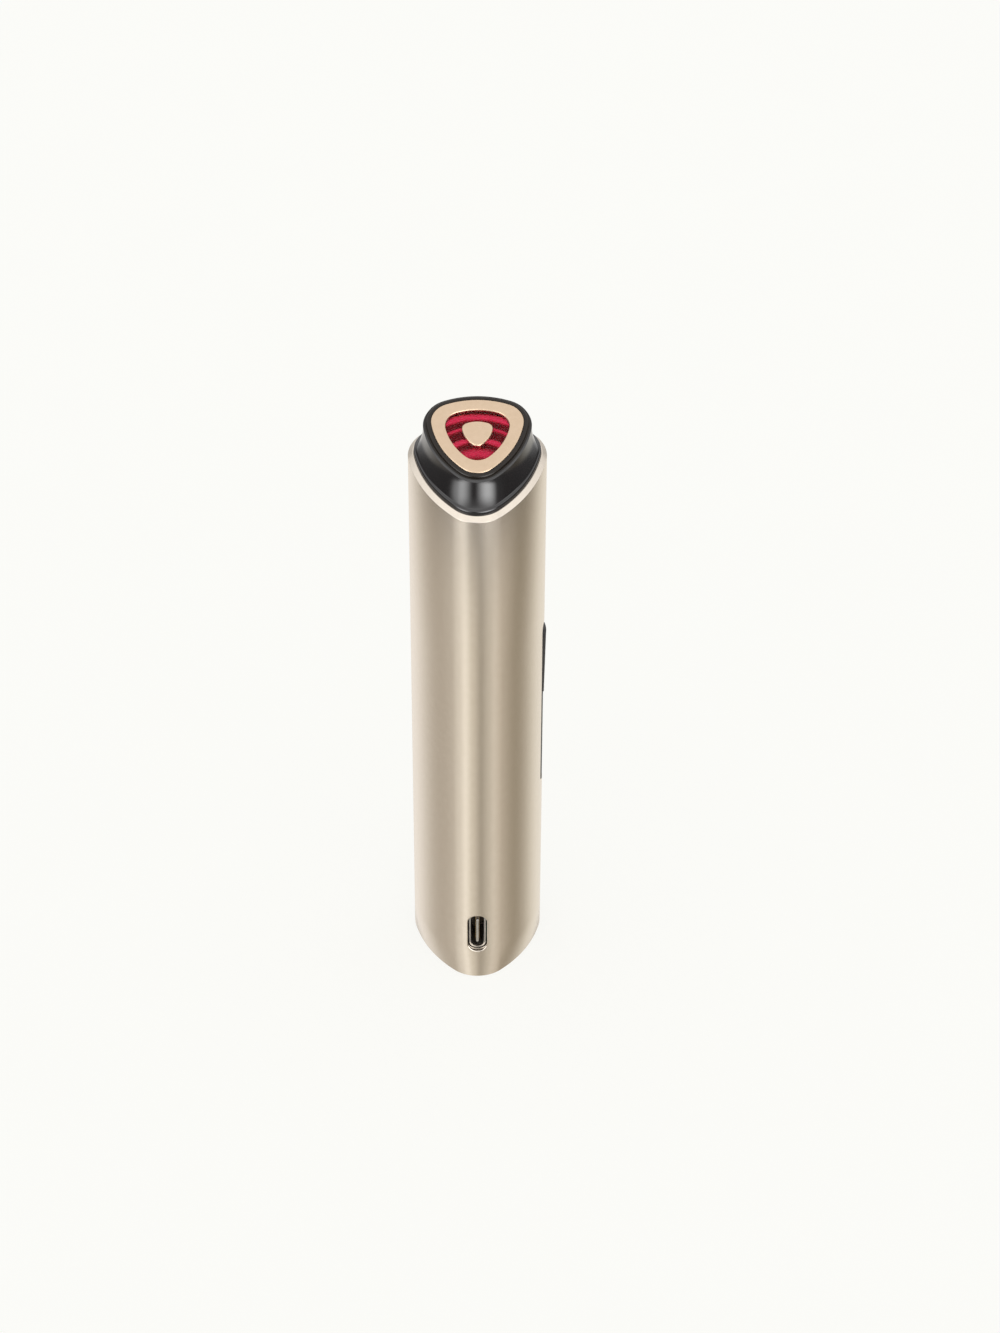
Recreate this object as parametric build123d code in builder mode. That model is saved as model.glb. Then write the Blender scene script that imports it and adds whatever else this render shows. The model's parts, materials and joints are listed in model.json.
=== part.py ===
from build123d import *
import os
from math import atan2, cos, degrees, radians, sin

os.makedirs("parts", exist_ok=True)

# Facial device: a slim standing wand of rounded-triangle section. Lengths are in millimetres.
# The origin is on the wand's axis at its base, +Z runs up to the head, and the corner with the
# charging inlet points to -Y. The three corners of the section lie at -90, 30 and 150 degrees.

# Section: three corners, and the half turn between a corner and its side
corner_angles = (-90, 30, 150)
side_turn = 180 / len(corner_angles)

# Body tube
body_width = 25.0
body_corner_radius = 6.8
body_side_distance = 11.0
tube_wall = 1.0
base_edge_chamfer = 0.2
mouth_tilt = 10.6
mouth_bevel_width = 0.85
mouth_bevel_drop = 0.7

# Clearances
slide_gap = 0.06
frame_gap = 0.15
rod_gap = 0.03
key_gap = 0.1

# Head face: outlines are rounded triangles in a tilted plane
head_height = 119.7
head_rise = 7.1
head_tilt = 19.0
electrode_width = 16.6
electrode_corner = 4.1
electrode_side = 7.3
electrode_thickness = 1.3
electrode_edge_round = 0.25
window_width = 11.3
window_corner = 3.06
window_side = 4.96
window_drop = 0.15
window_gap = 0.04
window_flange_growth = 0.5
window_flange_thickness = 0.6
window_rib_pitch = 2.6
window_rib_count = 4
window_rib_width = 1.2
window_rib_depth = 0.4
core_width = 5.5
core_corner = 1.23
core_side = 2.42
core_thickness = 1.0
core_rise = 0.05
core_stem_radius = 1.0
core_stem_length = 1.4
rim_growth = 0.85
rim_height = 0.5
rim_drop = 0.1
rim_edge_round = 0.35

# Electrode carrier and light board, by depth under the head face
carrier_thickness = 2.1
carrier_opening_width = 10.2
carrier_opening_corner = 2.8
carrier_opening_side = 4.45
led_board_thickness = 0.8
led_board_growth = -1.05
ledge_growth = -0.9
ledge_thickness = 1.0
led_count = 6
led_edge_gap = 0.15
led_length = 1.6
led_width = 1.1
led_height = 0.7
head_screw_inset = 2.0
head_screw_radius = 0.6
head_screw_head_radius = 0.95
head_screw_head_height = 0.7
head_screw_length = 2.1
contact_inset = 1.75
contact_radius = 0.4
contact_barrel_radius = 0.62
outer_barrel_length = 1.3
centre_barrel_length = 0.65
sensor_length = 2.0
sensor_width = 1.2
sensor_height = 0.7
sensor_inset = 0.95

# Collar between tube and head
collar_plug_length = 9.4
collar_wall = 1.24
collar_neck_step = 0.55
collar_neck_chamfer = 0.18
collar_lip_height = 0.8
collar_lip_round = 0.3
collar_flare_sink = 0.25
collar_lip_land = 0.02
collar_flare_power = 2.4
collar_ring_steps = (0.0, 0.1, 0.22, 0.38, 0.6, 0.8, 1.0)
collar_cavity_depth = 5.8
collar_boss_radius = 1.6
collar_boss_height = 5.0
seal_height = 0.8
seal_depth = 0.6
seal_squeeze = 0.03
head_seal_rise = 1.8

# Base closure
base_plate_thickness = 1.0
base_cap_thickness = 3.2
base_seal_rise = 1.3
base_screw_x = 6.5
base_screw_y = 3.2
base_screw_radius = 0.8
base_screw_head_radius = 1.5
base_screw_head_height = 0.8
base_screw_sink = 0.9
base_screw_length = 5.0
base_boss_radius = 1.9
base_boss_height = 2.4

# Charging inlet in the front corner
inlet_floor_gap = 0.63
inlet_end_gap = 0.13
inlet_side_gap = 0.245
inlet_lip_chamfer = 0.25
shell_length = 8.94
shell_width = 3.26
shell_wall = 0.33
shell_depth = 7.3
shell_setback = 0.08
tongue_end_gap = 0.79
tongue_thickness = 0.7
tongue_setback = 0.7
tongue_root_depth = 1.4
charge_board_thickness = 0.8
charge_board_setback = 2.38
charge_board_back = 6.0
charge_chip_size = 3.0
charge_chip_height = 0.8
charge_chip_y = -2.0
charge_chip_rise = 0.7
charge_connector_length = 3.4
charge_connector_width = 2.4
charge_connector_depth = 2.8

# Chassis
chassis_wall = 0.9
floor_thickness = 2.0
battery_floor_gap = 1.17
bulkhead_thickness = 1.4
bulkhead_space = 4.8
roof_thickness = 1.6
spine_right = 3.2
spine_front = 2.0
rib_thickness = 1.2
rib_heights = (34.0, 47.0, 60.0)
key_rail_thickness = 1.0
key_rail_width = 6.8
key_room_side = 0.5
key_room_end = 1.45
key_room_gap = 0.6
key_board_room = 0.3
stake_radius = 0.6
stake_height = 1.1
stake_low_margin = 2.0
stake_high_margin = 8.5

# Battery
battery_radius = 7.0
battery_gap = 0.1
battery_edge_round = 0.6
pad_thickness = 0.6
pad_radius = 4.8
tab_thickness = 0.2
tab_width = 3.6
tab_reach = 5.8

# Control panel and key at the right rear corner, by distance from the axis
panel_direction = 30.0
panel_width = 10.4
panel_length = 37.9
panel_drop = 62.8
panel_corner = 1.2
panel_recess = 0.05
gasket_thickness = 0.3
panel_flange = 0.8
panel_flange_thickness = 0.6
key_width = 9.0
key_length = 14.65
key_end_margin = 2.45
key_corner = 1.0
key_proud_low = 0.12
key_proud_high = 0.38
key_edge_round = 0.2
key_skin = 0.9
key_wall = 0.8
key_lip = 0.4
key_lip_thickness = 0.46
key_rest_gap = 0.04
key_post_radius = 1.5
key_board_distance = 8.2
key_board_thickness = 0.8
key_board_width = 6.4
key_board_low_inset = 0.95
key_board_high_margin = 0.4
switch_length = 4.5
switch_width = 3.4
switch_height = 1.5
switch_bore_depth = 0.9
plunger_radius = 0.9
plunger_length = 0.9
plunger_gap = 0.05
plunger_rise = 0.5
guide_radius = 0.5
guide_pitch = 4.0
guide_count = 3
guide_drop = 5.0
level_led_size = 1.0
level_led_height = 0.6

# Main board
board_thickness = 1.0
board_front = 1.0
board_left = 9.0
board_right = 7.9
board_height = 21.0
board_end_gap = 0.4
standoff_radius = 1.5
standoff_x = -7.0
standoff_low_rise = 3.2
standoff_high_drop = 2.8
frame_screw_radius = 0.7
frame_screw_head_radius = 1.2
frame_screw_head_height = 0.8
frame_screw_length = 4.0
roof_screw_inset = 3.6
roof_screw_setback = 3.09
chip_size = 5.0
chip_height = 0.9
chip_rise = 10.8
core_frame_size = 9.0
core_frame_depth = 4.6
core_leg_width = 2.8
core_slot_width = 1.9
core_slot_height = 6.0
transformer_x = -1.4
transformer_rise = 12.2
winding_gap = 0.1
capacitor_radius = 2.0
capacitor_height = 5.0
capacitor_x = 5.4
capacitor_rises = (9.2, 14.4)
transistor_width = 2.4
transistor_length = 2.9
transistor_height = 1.0
transistor_x = -7.4
transistor_rises = (6.8, 11.2)
connector_width = 3.4
connector_height = 2.8
connector_depth = 2.0
header_left = 6.0
header_rear = 4.5
header_rise = 0.6
header_height = 2.8

# Flat cables
power_ribbon_width = 2.6
power_ribbon_gap = 1.4
power_ribbon_bend = 3.0
head_ribbon_width = 6.0
ribbon_thickness = 0.2
ribbon_slot_gap = 0.3


def triangle_face(width, corner_radius, side_distance):
    """Rounded triangle, a corner towards -Y: three corner arcs joined by three shallow side arcs."""
    corner_distance = (width / 2 - corner_radius) / sin(radians(side_turn))
    across = corner_distance * sin(radians(side_turn))
    ahead = corner_distance / 2 - side_distance
    side_radius = (corner_radius**2 - ahead**2 - across**2) / (2 * (corner_radius + ahead))
    side_centre = side_radius - side_distance
    half_side = degrees(atan2(across, corner_distance / 2 + side_centre))
    with BuildSketch() as face:
        with BuildLine():
            for corner in corner_angles:
                side = corner + side_turn
                corner_point = Vector(corner_distance, 0).rotate(Axis.Z, corner)
                side_point = Vector(-side_centre, 0).rotate(Axis.Z, side)
                CenterArc(corner_point, corner_radius, corner - side_turn + half_side,
                          2 * (side_turn - half_side))
                CenterArc(side_point, side_radius, side - half_side, 2 * half_side)
        make_face()
    return face.sketch


def body_face(inset):
    """Section of the body, moved inwards by inset."""
    return triangle_face(
        body_width - 2 * inset, body_corner_radius - inset, body_side_distance - inset
    )


def head_face(growth):
    """Outline of the outer electrode, moved outwards by growth."""
    return triangle_face(
        electrode_width + 2 * growth, electrode_corner + growth, electrode_side + growth
    )


def window_face(growth):
    """Outline of the light window, moved outwards by growth."""
    return triangle_face(window_width + 2 * growth, window_corner + growth, window_side + growth)


def core_face(growth):
    """Outline of the centre electrode, moved outwards by growth."""
    return triangle_face(core_width + 2 * growth, core_corner + growth, core_side + growth)


def tilted_plane(height, tilt):
    """Plane through the axis at a height, facing up and tipped towards -Y by tilt degrees."""
    return Plane(
        origin=(0, 0, height), x_dir=(1, 0, 0), z_dir=(0, -sin(radians(tilt)), cos(radians(tilt)))
    )


# Sizes that follow from the driving ones
def reach(width, corner_radius):
    """Distance from the axis to a corner of a rounded triangle."""
    return (width / 2 - corner_radius) / sin(radians(side_turn)) + corner_radius


corner_reach = reach(body_width, body_corner_radius)
electrode_reach = reach(electrode_width, electrode_corner)
frame_inset = tube_wall + frame_gap
base_inset = tube_wall + slide_gap
all_height = head_height + body_width

# Down from the head: mouth, collar, roof, main board and the bulkheads above the battery
mouth_height = head_height - head_rise
collar_bottom = mouth_height - collar_plug_length
collar_cavity_height = collar_bottom + collar_cavity_depth
head_seal_level = collar_bottom + head_seal_rise
roof_height = collar_bottom - roof_thickness
board_top = roof_height - board_end_gap
main_floor_top = board_top - board_height
main_floor_height = main_floor_top - bulkhead_thickness
battery_roof_height = main_floor_height - bulkhead_space - bulkhead_thickness
battery_top = battery_roof_height - pad_thickness - tab_thickness

# Up from the base: cap, floor, inlet, charge connector and battery
base_seal_level = base_plate_thickness + base_seal_rise
base_cap_top = base_plate_thickness + base_cap_thickness
floor_top = base_cap_top + floor_thickness
inlet_height = floor_top + shell_length / 2 + inlet_floor_gap
inlet_slot_length = shell_length + 2 * inlet_end_gap
inlet_slot_width = shell_width + 2 * inlet_side_gap
tongue_length = shell_length - 2 * (shell_wall + tongue_end_gap)
shell_front = corner_reach - tube_wall - shell_setback
shell_rear = shell_front - shell_depth
charge_board_front = corner_reach - charge_board_setback
charge_chip_z = inlet_height + charge_chip_rise
charge_connector_top = inlet_height + shell_length / 2 + charge_connector_length + slide_gap
battery_floor_height = charge_connector_top + battery_floor_gap
battery_bottom = battery_floor_height + bulkhead_thickness + pad_thickness + tab_thickness
power_ribbon_y = -(battery_radius + power_ribbon_gap)

# Main board
board_rear = board_front + board_thickness
standoff_heights = (main_floor_top + standoff_low_rise, board_top - standoff_high_drop)
roof_screw_x = body_width / 2 - roof_screw_inset
roof_screw_y = corner_reach * cos(radians(side_turn)) - roof_screw_setback
chip_z = main_floor_top + chip_rise
transformer_z = main_floor_top + transformer_rise
capacitor_heights = [main_floor_top + rise for rise in capacitor_rises]
transistor_heights = [main_floor_top + rise for rise in transistor_rises]
header_low = main_floor_top + header_rise

# Panel, key and the board behind them
panel_centre = head_height - panel_drop
panel_back = tube_wall + gasket_thickness + panel_flange_thickness
gasket_front = tube_wall
key_centre = panel_centre + panel_length / 2 - key_end_margin - key_length / 2
key_lip_front = panel_back + key_rest_gap
key_back = key_lip_front + key_lip_thickness
key_room_width = panel_width + 2 * (panel_flange + key_room_side)
key_room_length = panel_length + 2 * (panel_flange + key_room_end)
key_room_inset = key_back + key_room_gap
key_board_low = panel_centre - panel_length / 2 + key_board_low_inset
key_board_high = header_low + header_height + key_board_high_margin
key_board_face = key_board_distance + key_board_thickness
stake_heights = (key_board_low + stake_low_margin, key_board_high - stake_high_margin)
switch_face = key_board_face + switch_height
plunger_tip_distance = switch_face + plunger_rise
guide_top_height = key_centre - key_length / 2 - key_lip - guide_drop

# Depths under the head face
carrier_depth = electrode_thickness
board_depth = carrier_depth + carrier_thickness
board_back_depth = board_depth + led_board_thickness
window_back_depth = carrier_depth + window_flange_thickness
ledge_back_depth = board_depth + ledge_thickness
rim_back_depth = rim_drop + rim_height
core_back_depth = core_thickness - core_rise
led_circle_radius = carrier_opening_side - led_edge_gap - led_width / 2
head_screw_distance = electrode_reach - head_screw_inset
contact_distance = electrode_reach - contact_inset
sensor_distance = electrode_side - sensor_inset

mouth_plane = tilted_plane(mouth_height, mouth_tilt)
head_plane = tilted_plane(head_height, head_tilt)
inlet_plane = Plane(origin=(0, 0, 0), x_dir=(1, 0, 0), z_dir=(0, -1, 0))
panel_sine = sin(radians(panel_direction))
panel_cosine = cos(radians(panel_direction))
key_plane = Plane(
    origin=(0, 0, 0), x_dir=(-panel_sine, panel_cosine, 0), z_dir=(panel_cosine, panel_sine, 0)
)

carrier_opening_face = triangle_face(
    carrier_opening_width, carrier_opening_corner, carrier_opening_side
)


def corner_patch(width, length, corner, centre, outer_inset, inner_inset):
    """Layer of the wall between two insets, cut to a rounded rectangle seen square on."""
    with BuildPart() as patch:
        with BuildSketch(Plane.XY.offset(centre - length)):
            add(body_face(outer_inset))
            add(body_face(inner_inset), mode=Mode.SUBTRACT)
        extrude(amount=2 * length)
        with BuildSketch(key_plane):
            with Locations((0, centre)):
                RectangleRounded(width, length, corner)
        extrude(amount=body_width, mode=Mode.INTERSECT)
    return patch.part


def screw(seat, radius, length, head_radius, head_height):
    """Pan-head screw with a cross recess; its head stands on the seat plane, its shank below."""
    with BuildPart() as fastener:
        with BuildSketch(seat):
            Circle(head_radius)
        extrude(amount=head_height)
        with BuildSketch(seat):
            Circle(radius)
        extrude(amount=-length)
        with BuildSketch(seat.offset(head_height)):
            Rectangle(head_radius * 1.2, head_radius * 0.3)
            Rectangle(head_radius * 0.3, head_radius * 1.2)
        extrude(amount=-head_height * 0.5, mode=Mode.SUBTRACT)
    return fastener.part


def seal_ring(level):
    """Square-section ring that fills the groove between a plug and the tube."""
    with BuildPart() as ring:
        with BuildSketch(Plane.XY.offset(level)):
            add(body_face(tube_wall + seal_squeeze))
            add(body_face(base_inset + seal_depth - seal_squeeze), mode=Mode.SUBTRACT)
        extrude(amount=seal_height)
    return ring.part


def seal_groove(level):
    """Space that a plug gives up for its seal ring."""
    with BuildPart() as groove:
        with BuildSketch(Plane.XY.offset(level - seal_squeeze)):
            add(body_face(0))
            add(body_face(base_inset + seal_depth), mode=Mode.SUBTRACT)
        extrude(amount=seal_height + 2 * seal_squeeze)
    return groove.part


# Tube body: extruded shell, slanted mouth with a bright bevel, inlet slot and panel window
with BuildPart() as tube_body:
    with BuildSketch():
        add(body_face(0))
        add(body_face(tube_wall), mode=Mode.SUBTRACT)
    extrude(amount=all_height)
    split(bisect_by=mouth_plane, keep=Keep.BOTTOM)
    mouth_face = tube_body.faces().sort_by(Axis.Z)[-1]
    chamfer(
        mouth_face.outer_wire().edges(),
        length=mouth_bevel_width,
        length2=mouth_bevel_drop,
        reference=mouth_face,
    )
    base_face = tube_body.faces().sort_by(Axis.Z)[0]
    chamfer(base_face.outer_wire().edges(), length=base_edge_chamfer)
    with BuildSketch(inlet_plane):
        with Locations((0, inlet_height)):
            SlotOverall(inlet_slot_length, inlet_slot_width, rotation=90)
    extrude(amount=body_width, mode=Mode.SUBTRACT)
    slot_edges = tube_body.edges(Select.LAST).filter_by(
        lambda edge: edge.center().Y < -(corner_reach - tube_wall / 2)
    )
    chamfer(slot_edges, length=inlet_lip_chamfer)
    with BuildSketch(key_plane):
        with Locations((0, panel_centre)):
            RectangleRounded(
                panel_width + 2 * slide_gap, panel_length + 2 * slide_gap, panel_corner + slide_gap
            )
    extrude(amount=body_width, mode=Mode.SUBTRACT)
tube_body.part.label = "tube_body"
export_step(tube_body.part, "parts/tube_body.step")

# Base plate: the finished plate that shows underneath
with BuildPart() as base_plate:
    with BuildSketch():
        add(body_face(base_inset))
    extrude(amount=base_plate_thickness)
base_plate.part.label = "base_plate"
export_step(base_plate.part, "parts/base_plate.step")

base_screw_seats = [
    Plane(origin=(side * base_screw_x, base_screw_y, base_plate_thickness + base_screw_sink),
          x_dir=(1, 0, 0), z_dir=(0, 0, -1))
    for side in (-1, 1)
]

# Base cap: plug with a seal groove and two countersunk screw seats
with BuildPart() as base_cap:
    with BuildSketch(Plane.XY.offset(base_plate_thickness)):
        add(body_face(base_inset))
    extrude(amount=base_cap_thickness)
    add(seal_groove(base_seal_level), mode=Mode.SUBTRACT)
    for seat in base_screw_seats:
        with BuildSketch(seat):
            Circle(base_screw_head_radius + rod_gap)
        extrude(amount=base_screw_sink, mode=Mode.SUBTRACT)
        with BuildSketch(seat):
            Circle(base_screw_radius + rod_gap)
        extrude(amount=-base_cap_thickness, mode=Mode.SUBTRACT)
base_cap.part.label = "base_cap"
export_step(base_cap.part, "parts/base_cap.step")

with BuildPart() as base_seal:
    add(seal_ring(base_seal_level))
base_seal.part.label = "base_seal"
export_step(base_seal.part, "parts/base_seal.step")

with BuildPart() as base_screws:
    for seat in base_screw_seats:
        add(screw(seat, base_screw_radius, base_screw_length,
                  base_screw_head_radius, base_screw_head_height))
base_screws.part.label = "base_screws"
export_step(base_screws.part, "parts/base_screws.step")

# Screws that hold the main board and the collar are alike
standoff_seats = [
    Plane(origin=(standoff_x, board_front, height), x_dir=(1, 0, 0), z_dir=(0, -1, 0))
    for height in standoff_heights
]
roof_seats = [
    Plane(origin=(side * roof_screw_x, roof_screw_y, roof_height), x_dir=(1, 0, 0), z_dir=(0, 0, -1))
    for side in (-1, 1)
]
ribbon_x = shell_width / 2 - charge_connector_depth / 2
tab_left = -(battery_radius + battery_gap / 2 + tab_thickness / 2)

# Chassis: floors, ribs and a curved spine that slide into the tube as one moulding
floors = (
    (base_cap_top, floor_thickness),
    (battery_floor_height, bulkhead_thickness),
    (battery_roof_height, bulkhead_thickness),
    (main_floor_height, bulkhead_thickness),
    (roof_height, roof_thickness),
)
with BuildPart() as chassis:
    with BuildSketch(Plane.XY.offset(base_cap_top)):
        add(body_face(frame_inset))
        add(body_face(frame_inset + chassis_wall), mode=Mode.SUBTRACT)
    extrude(amount=collar_bottom - base_cap_top)
    for height in rib_heights:
        with BuildSketch(Plane.XY.offset(height)):
            add(body_face(frame_inset))
        extrude(amount=rib_thickness)
    with BuildSketch(Plane.XY.offset(base_cap_top)):
        with Locations((spine_right, spine_front)):
            Rectangle(2 * body_width, 2 * body_width, align=(Align.MAX, Align.MIN))
    extrude(amount=collar_bottom - base_cap_top, mode=Mode.INTERSECT)
    for height, thickness in floors:
        with BuildSketch(Plane.XY.offset(height)):
            add(body_face(frame_inset))
        extrude(amount=thickness)
    with BuildSketch(key_plane.offset(key_board_distance - key_rail_thickness)):
        with Locations((0, battery_floor_height)):
            Rectangle(key_rail_width, main_floor_top - battery_floor_height,
                      align=(Align.CENTER, Align.MIN))
    extrude(amount=key_rail_thickness)
    for seat in base_screw_seats:
        boss_foot = floor_top - seat.origin.Z
        with BuildSketch(seat.offset(-boss_foot)):
            Circle(base_boss_radius)
        extrude(amount=-base_boss_height)
    for seat in standoff_seats:
        with BuildSketch(seat.offset(-board_thickness)):
            Circle(standoff_radius)
        extrude(amount=-(body_side_distance - board_rear))
    with BuildSketch(Plane.XY.offset(base_cap_top)):
        add(body_face(frame_inset))
    extrude(amount=collar_bottom - base_cap_top, mode=Mode.INTERSECT)
    # Room for the battery, the panel, the key board, cables and tabs
    with BuildSketch(Plane.XY.offset(battery_floor_height + bulkhead_thickness)):
        Circle(battery_radius + battery_gap)
    extrude(amount=battery_roof_height - battery_floor_height - bulkhead_thickness, mode=Mode.SUBTRACT)
    add(corner_patch(key_room_width, key_room_length, panel_corner, panel_centre, 0, key_room_inset),
        mode=Mode.SUBTRACT)
    with BuildSketch(key_plane.offset(key_board_distance)):
        with Locations((0, key_board_low - key_board_room)):
            Rectangle(key_board_width + 2 * key_board_room,
                      key_board_high - key_board_low + 2 * key_board_room,
                      align=(Align.CENTER, Align.MIN))
    extrude(amount=body_width, mode=Mode.SUBTRACT)
    with BuildSketch(Plane.XY.offset(battery_floor_height)):
        with Locations((ribbon_x, power_ribbon_y)):
            Rectangle(power_ribbon_width + 2 * ribbon_slot_gap, ribbon_thickness + 2 * ribbon_slot_gap)
        with Locations((tab_left, 0), (tab_reach, 0)):
            Rectangle(tab_thickness + 2 * ribbon_slot_gap, tab_width + 2 * ribbon_slot_gap)
    extrude(amount=main_floor_top - battery_floor_height, mode=Mode.SUBTRACT)
    with BuildSketch(Plane.XY.offset(roof_height)):
        with Locations((0, (board_front + board_rear) / 2)):
            Rectangle(head_ribbon_width + 2 * ribbon_slot_gap, ribbon_thickness + 2 * ribbon_slot_gap)
        for side in (-1, 1):
            with Locations((side * roof_screw_x, roof_screw_y)):
                Circle(frame_screw_radius + rod_gap)
    extrude(amount=roof_thickness, mode=Mode.SUBTRACT)
    for seat in base_screw_seats:
        with BuildSketch(seat):
            Circle(base_screw_radius + rod_gap)
        extrude(amount=-(base_screw_length + rod_gap), mode=Mode.SUBTRACT)
    for seat in standoff_seats:
        with BuildSketch(seat):
            Circle(frame_screw_radius + rod_gap)
        extrude(amount=-(frame_screw_length + rod_gap), mode=Mode.SUBTRACT)
    # Two stakes that locate the key board
    with BuildSketch(key_plane.offset(key_board_distance)):
        with Locations(*[(0, height) for height in stake_heights]):
            Circle(stake_radius)
    extrude(amount=stake_height)
chassis.part.label = "chassis"
export_step(chassis.part, "parts/chassis.step")

with BuildPart() as frame_screws:
    for seat in standoff_seats + roof_seats:
        add(screw(seat, frame_screw_radius, frame_screw_length,
                  frame_screw_head_radius, frame_screw_head_height))
frame_screws.part.label = "frame_screws"
export_step(frame_screws.part, "parts/frame_screws.step")

# Charging inlet: metal shell, contact tongue and the upright board that carries them
with BuildPart() as usb_shell:
    with BuildSketch(inlet_plane.offset(shell_rear)):
        with Locations((0, inlet_height)):
            SlotOverall(shell_length, shell_width, rotation=90)
            SlotOverall(shell_length - 2 * shell_wall, shell_width - 2 * shell_wall, rotation=90,
                        mode=Mode.SUBTRACT)
    extrude(amount=shell_depth)
usb_shell.part.label = "usb_shell"
export_step(usb_shell.part, "parts/usb_shell.step")

with BuildPart() as usb_tongue:
    with BuildSketch(inlet_plane.offset(shell_rear)):
        with Locations((0, inlet_height)):
            SlotOverall(shell_length - 2 * (shell_wall + rod_gap),
                        shell_width - 2 * (shell_wall + rod_gap), rotation=90)
    extrude(amount=tongue_root_depth)
    with BuildSketch(inlet_plane.offset(shell_rear)):
        with Locations((0, inlet_height)):
            Rectangle(tongue_thickness, tongue_length)
    extrude(amount=shell_depth - tongue_setback)
usb_tongue.part.label = "usb_tongue"
export_step(usb_tongue.part, "parts/usb_tongue.step")

with BuildPart() as charge_board:
    with Locations((shell_width / 2, -charge_board_front, floor_top)):
        Box(charge_board_thickness, charge_board_front + charge_board_back,
            battery_floor_height - floor_top, align=(Align.MIN, Align.MIN, Align.MIN))
charge_board.part.label = "charge_board"
export_step(charge_board.part, "parts/charge_board.step")

with BuildPart() as charge_chip:
    with Locations((shell_width / 2 + charge_board_thickness, charge_chip_y, charge_chip_z)):
        Box(charge_chip_height, charge_chip_size, charge_chip_size,
            align=(Align.MIN, Align.CENTER, Align.CENTER))
charge_chip.part.label = "charge_chip"
export_step(charge_chip.part, "parts/charge_chip.step")

with BuildPart() as charge_connector:
    with Locations((shell_width / 2, power_ribbon_y, charge_connector_top)):
        Box(charge_connector_depth, charge_connector_width, charge_connector_length,
            align=(Align.MAX, Align.CENTER, Align.MAX))
charge_connector.part.label = "charge_connector"
export_step(charge_connector.part, "parts/charge_connector.step")

# Battery: a crimped cell with a nickel tab and a foam pad at each end
crimp_height = 2.4
crimp_depth = 0.5
with BuildPart() as battery_cell:
    with BuildSketch(Plane.XY.offset(battery_bottom)):
        Circle(battery_radius)
    extrude(amount=battery_top - battery_bottom)
    fillet(battery_cell.edges().filter_by(GeomType.CIRCLE), radius=battery_edge_round)
    with BuildSketch(Plane.XZ):
        with Locations((battery_radius, battery_top - crimp_height)):
            Circle(crimp_depth)
    revolve(axis=Axis.Z, mode=Mode.SUBTRACT)
battery_cell.part.label = "battery_cell"
export_step(battery_cell.part, "parts/battery_cell.step")

with BuildPart() as battery_tabs:
    with Locations((tab_left - tab_thickness / 2, 0, battery_bottom)):
        Box(tab_reach - tab_left, tab_width, tab_thickness, align=(Align.MIN, Align.CENTER, Align.MAX))
        Box(tab_thickness, tab_width, main_floor_top - battery_bottom,
            align=(Align.MIN, Align.CENTER, Align.MIN))
    with Locations((tab_reach + tab_thickness / 2, 0, battery_top)):
        Box(2 * tab_reach, tab_width, tab_thickness, align=(Align.MAX, Align.CENTER, Align.MIN))
        Box(tab_thickness, tab_width, main_floor_top - battery_top,
            align=(Align.MAX, Align.CENTER, Align.MIN))
battery_tabs.part.label = "battery_tabs"
export_step(battery_tabs.part, "parts/battery_tabs.step")

with BuildPart() as battery_pads:
    for height in (battery_floor_height + bulkhead_thickness, battery_roof_height - pad_thickness):
        with BuildSketch(Plane.XY.offset(height)):
            Circle(pad_radius)
        extrude(amount=pad_thickness)
battery_pads.part.label = "battery_pads"
export_step(battery_pads.part, "parts/battery_pads.step")

# Control panel: follows the corner, flanged behind the tube wall, with a window for the key
with BuildPart() as control_panel:
    add(corner_patch(panel_width, panel_length, panel_corner, panel_centre, panel_recess, panel_back))
    add(corner_patch(panel_width + 2 * panel_flange, panel_length + 2 * panel_flange,
                     panel_corner + panel_flange, panel_centre,
                     tube_wall + gasket_thickness, panel_back))
    with BuildSketch(key_plane):
        with Locations((0, key_centre)):
            RectangleRounded(key_width + 2 * key_gap, key_length + 2 * key_gap, key_corner + key_gap)
        with Locations(*[(0, guide_top_height - i * guide_pitch) for i in range(guide_count)]):
            Circle(guide_radius + rod_gap)
    extrude(amount=body_width, mode=Mode.SUBTRACT)
control_panel.part.label = "control_panel"
export_step(control_panel.part, "parts/control_panel.step")

with BuildPart() as panel_gasket:
    add(corner_patch(panel_width + 2 * panel_flange, panel_length + 2 * panel_flange,
                     panel_corner + panel_flange, panel_centre,
                     gasket_front, gasket_front + gasket_thickness))
    with BuildSketch(key_plane):
        with Locations((0, panel_centre)):
            RectangleRounded(panel_width + 2 * slide_gap, panel_length + 2 * slide_gap,
                             panel_corner + slide_gap)
    extrude(amount=body_width, mode=Mode.SUBTRACT)
panel_gasket.part.label = "panel_gasket"
export_step(panel_gasket.part, "parts/panel_gasket.step")

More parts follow.
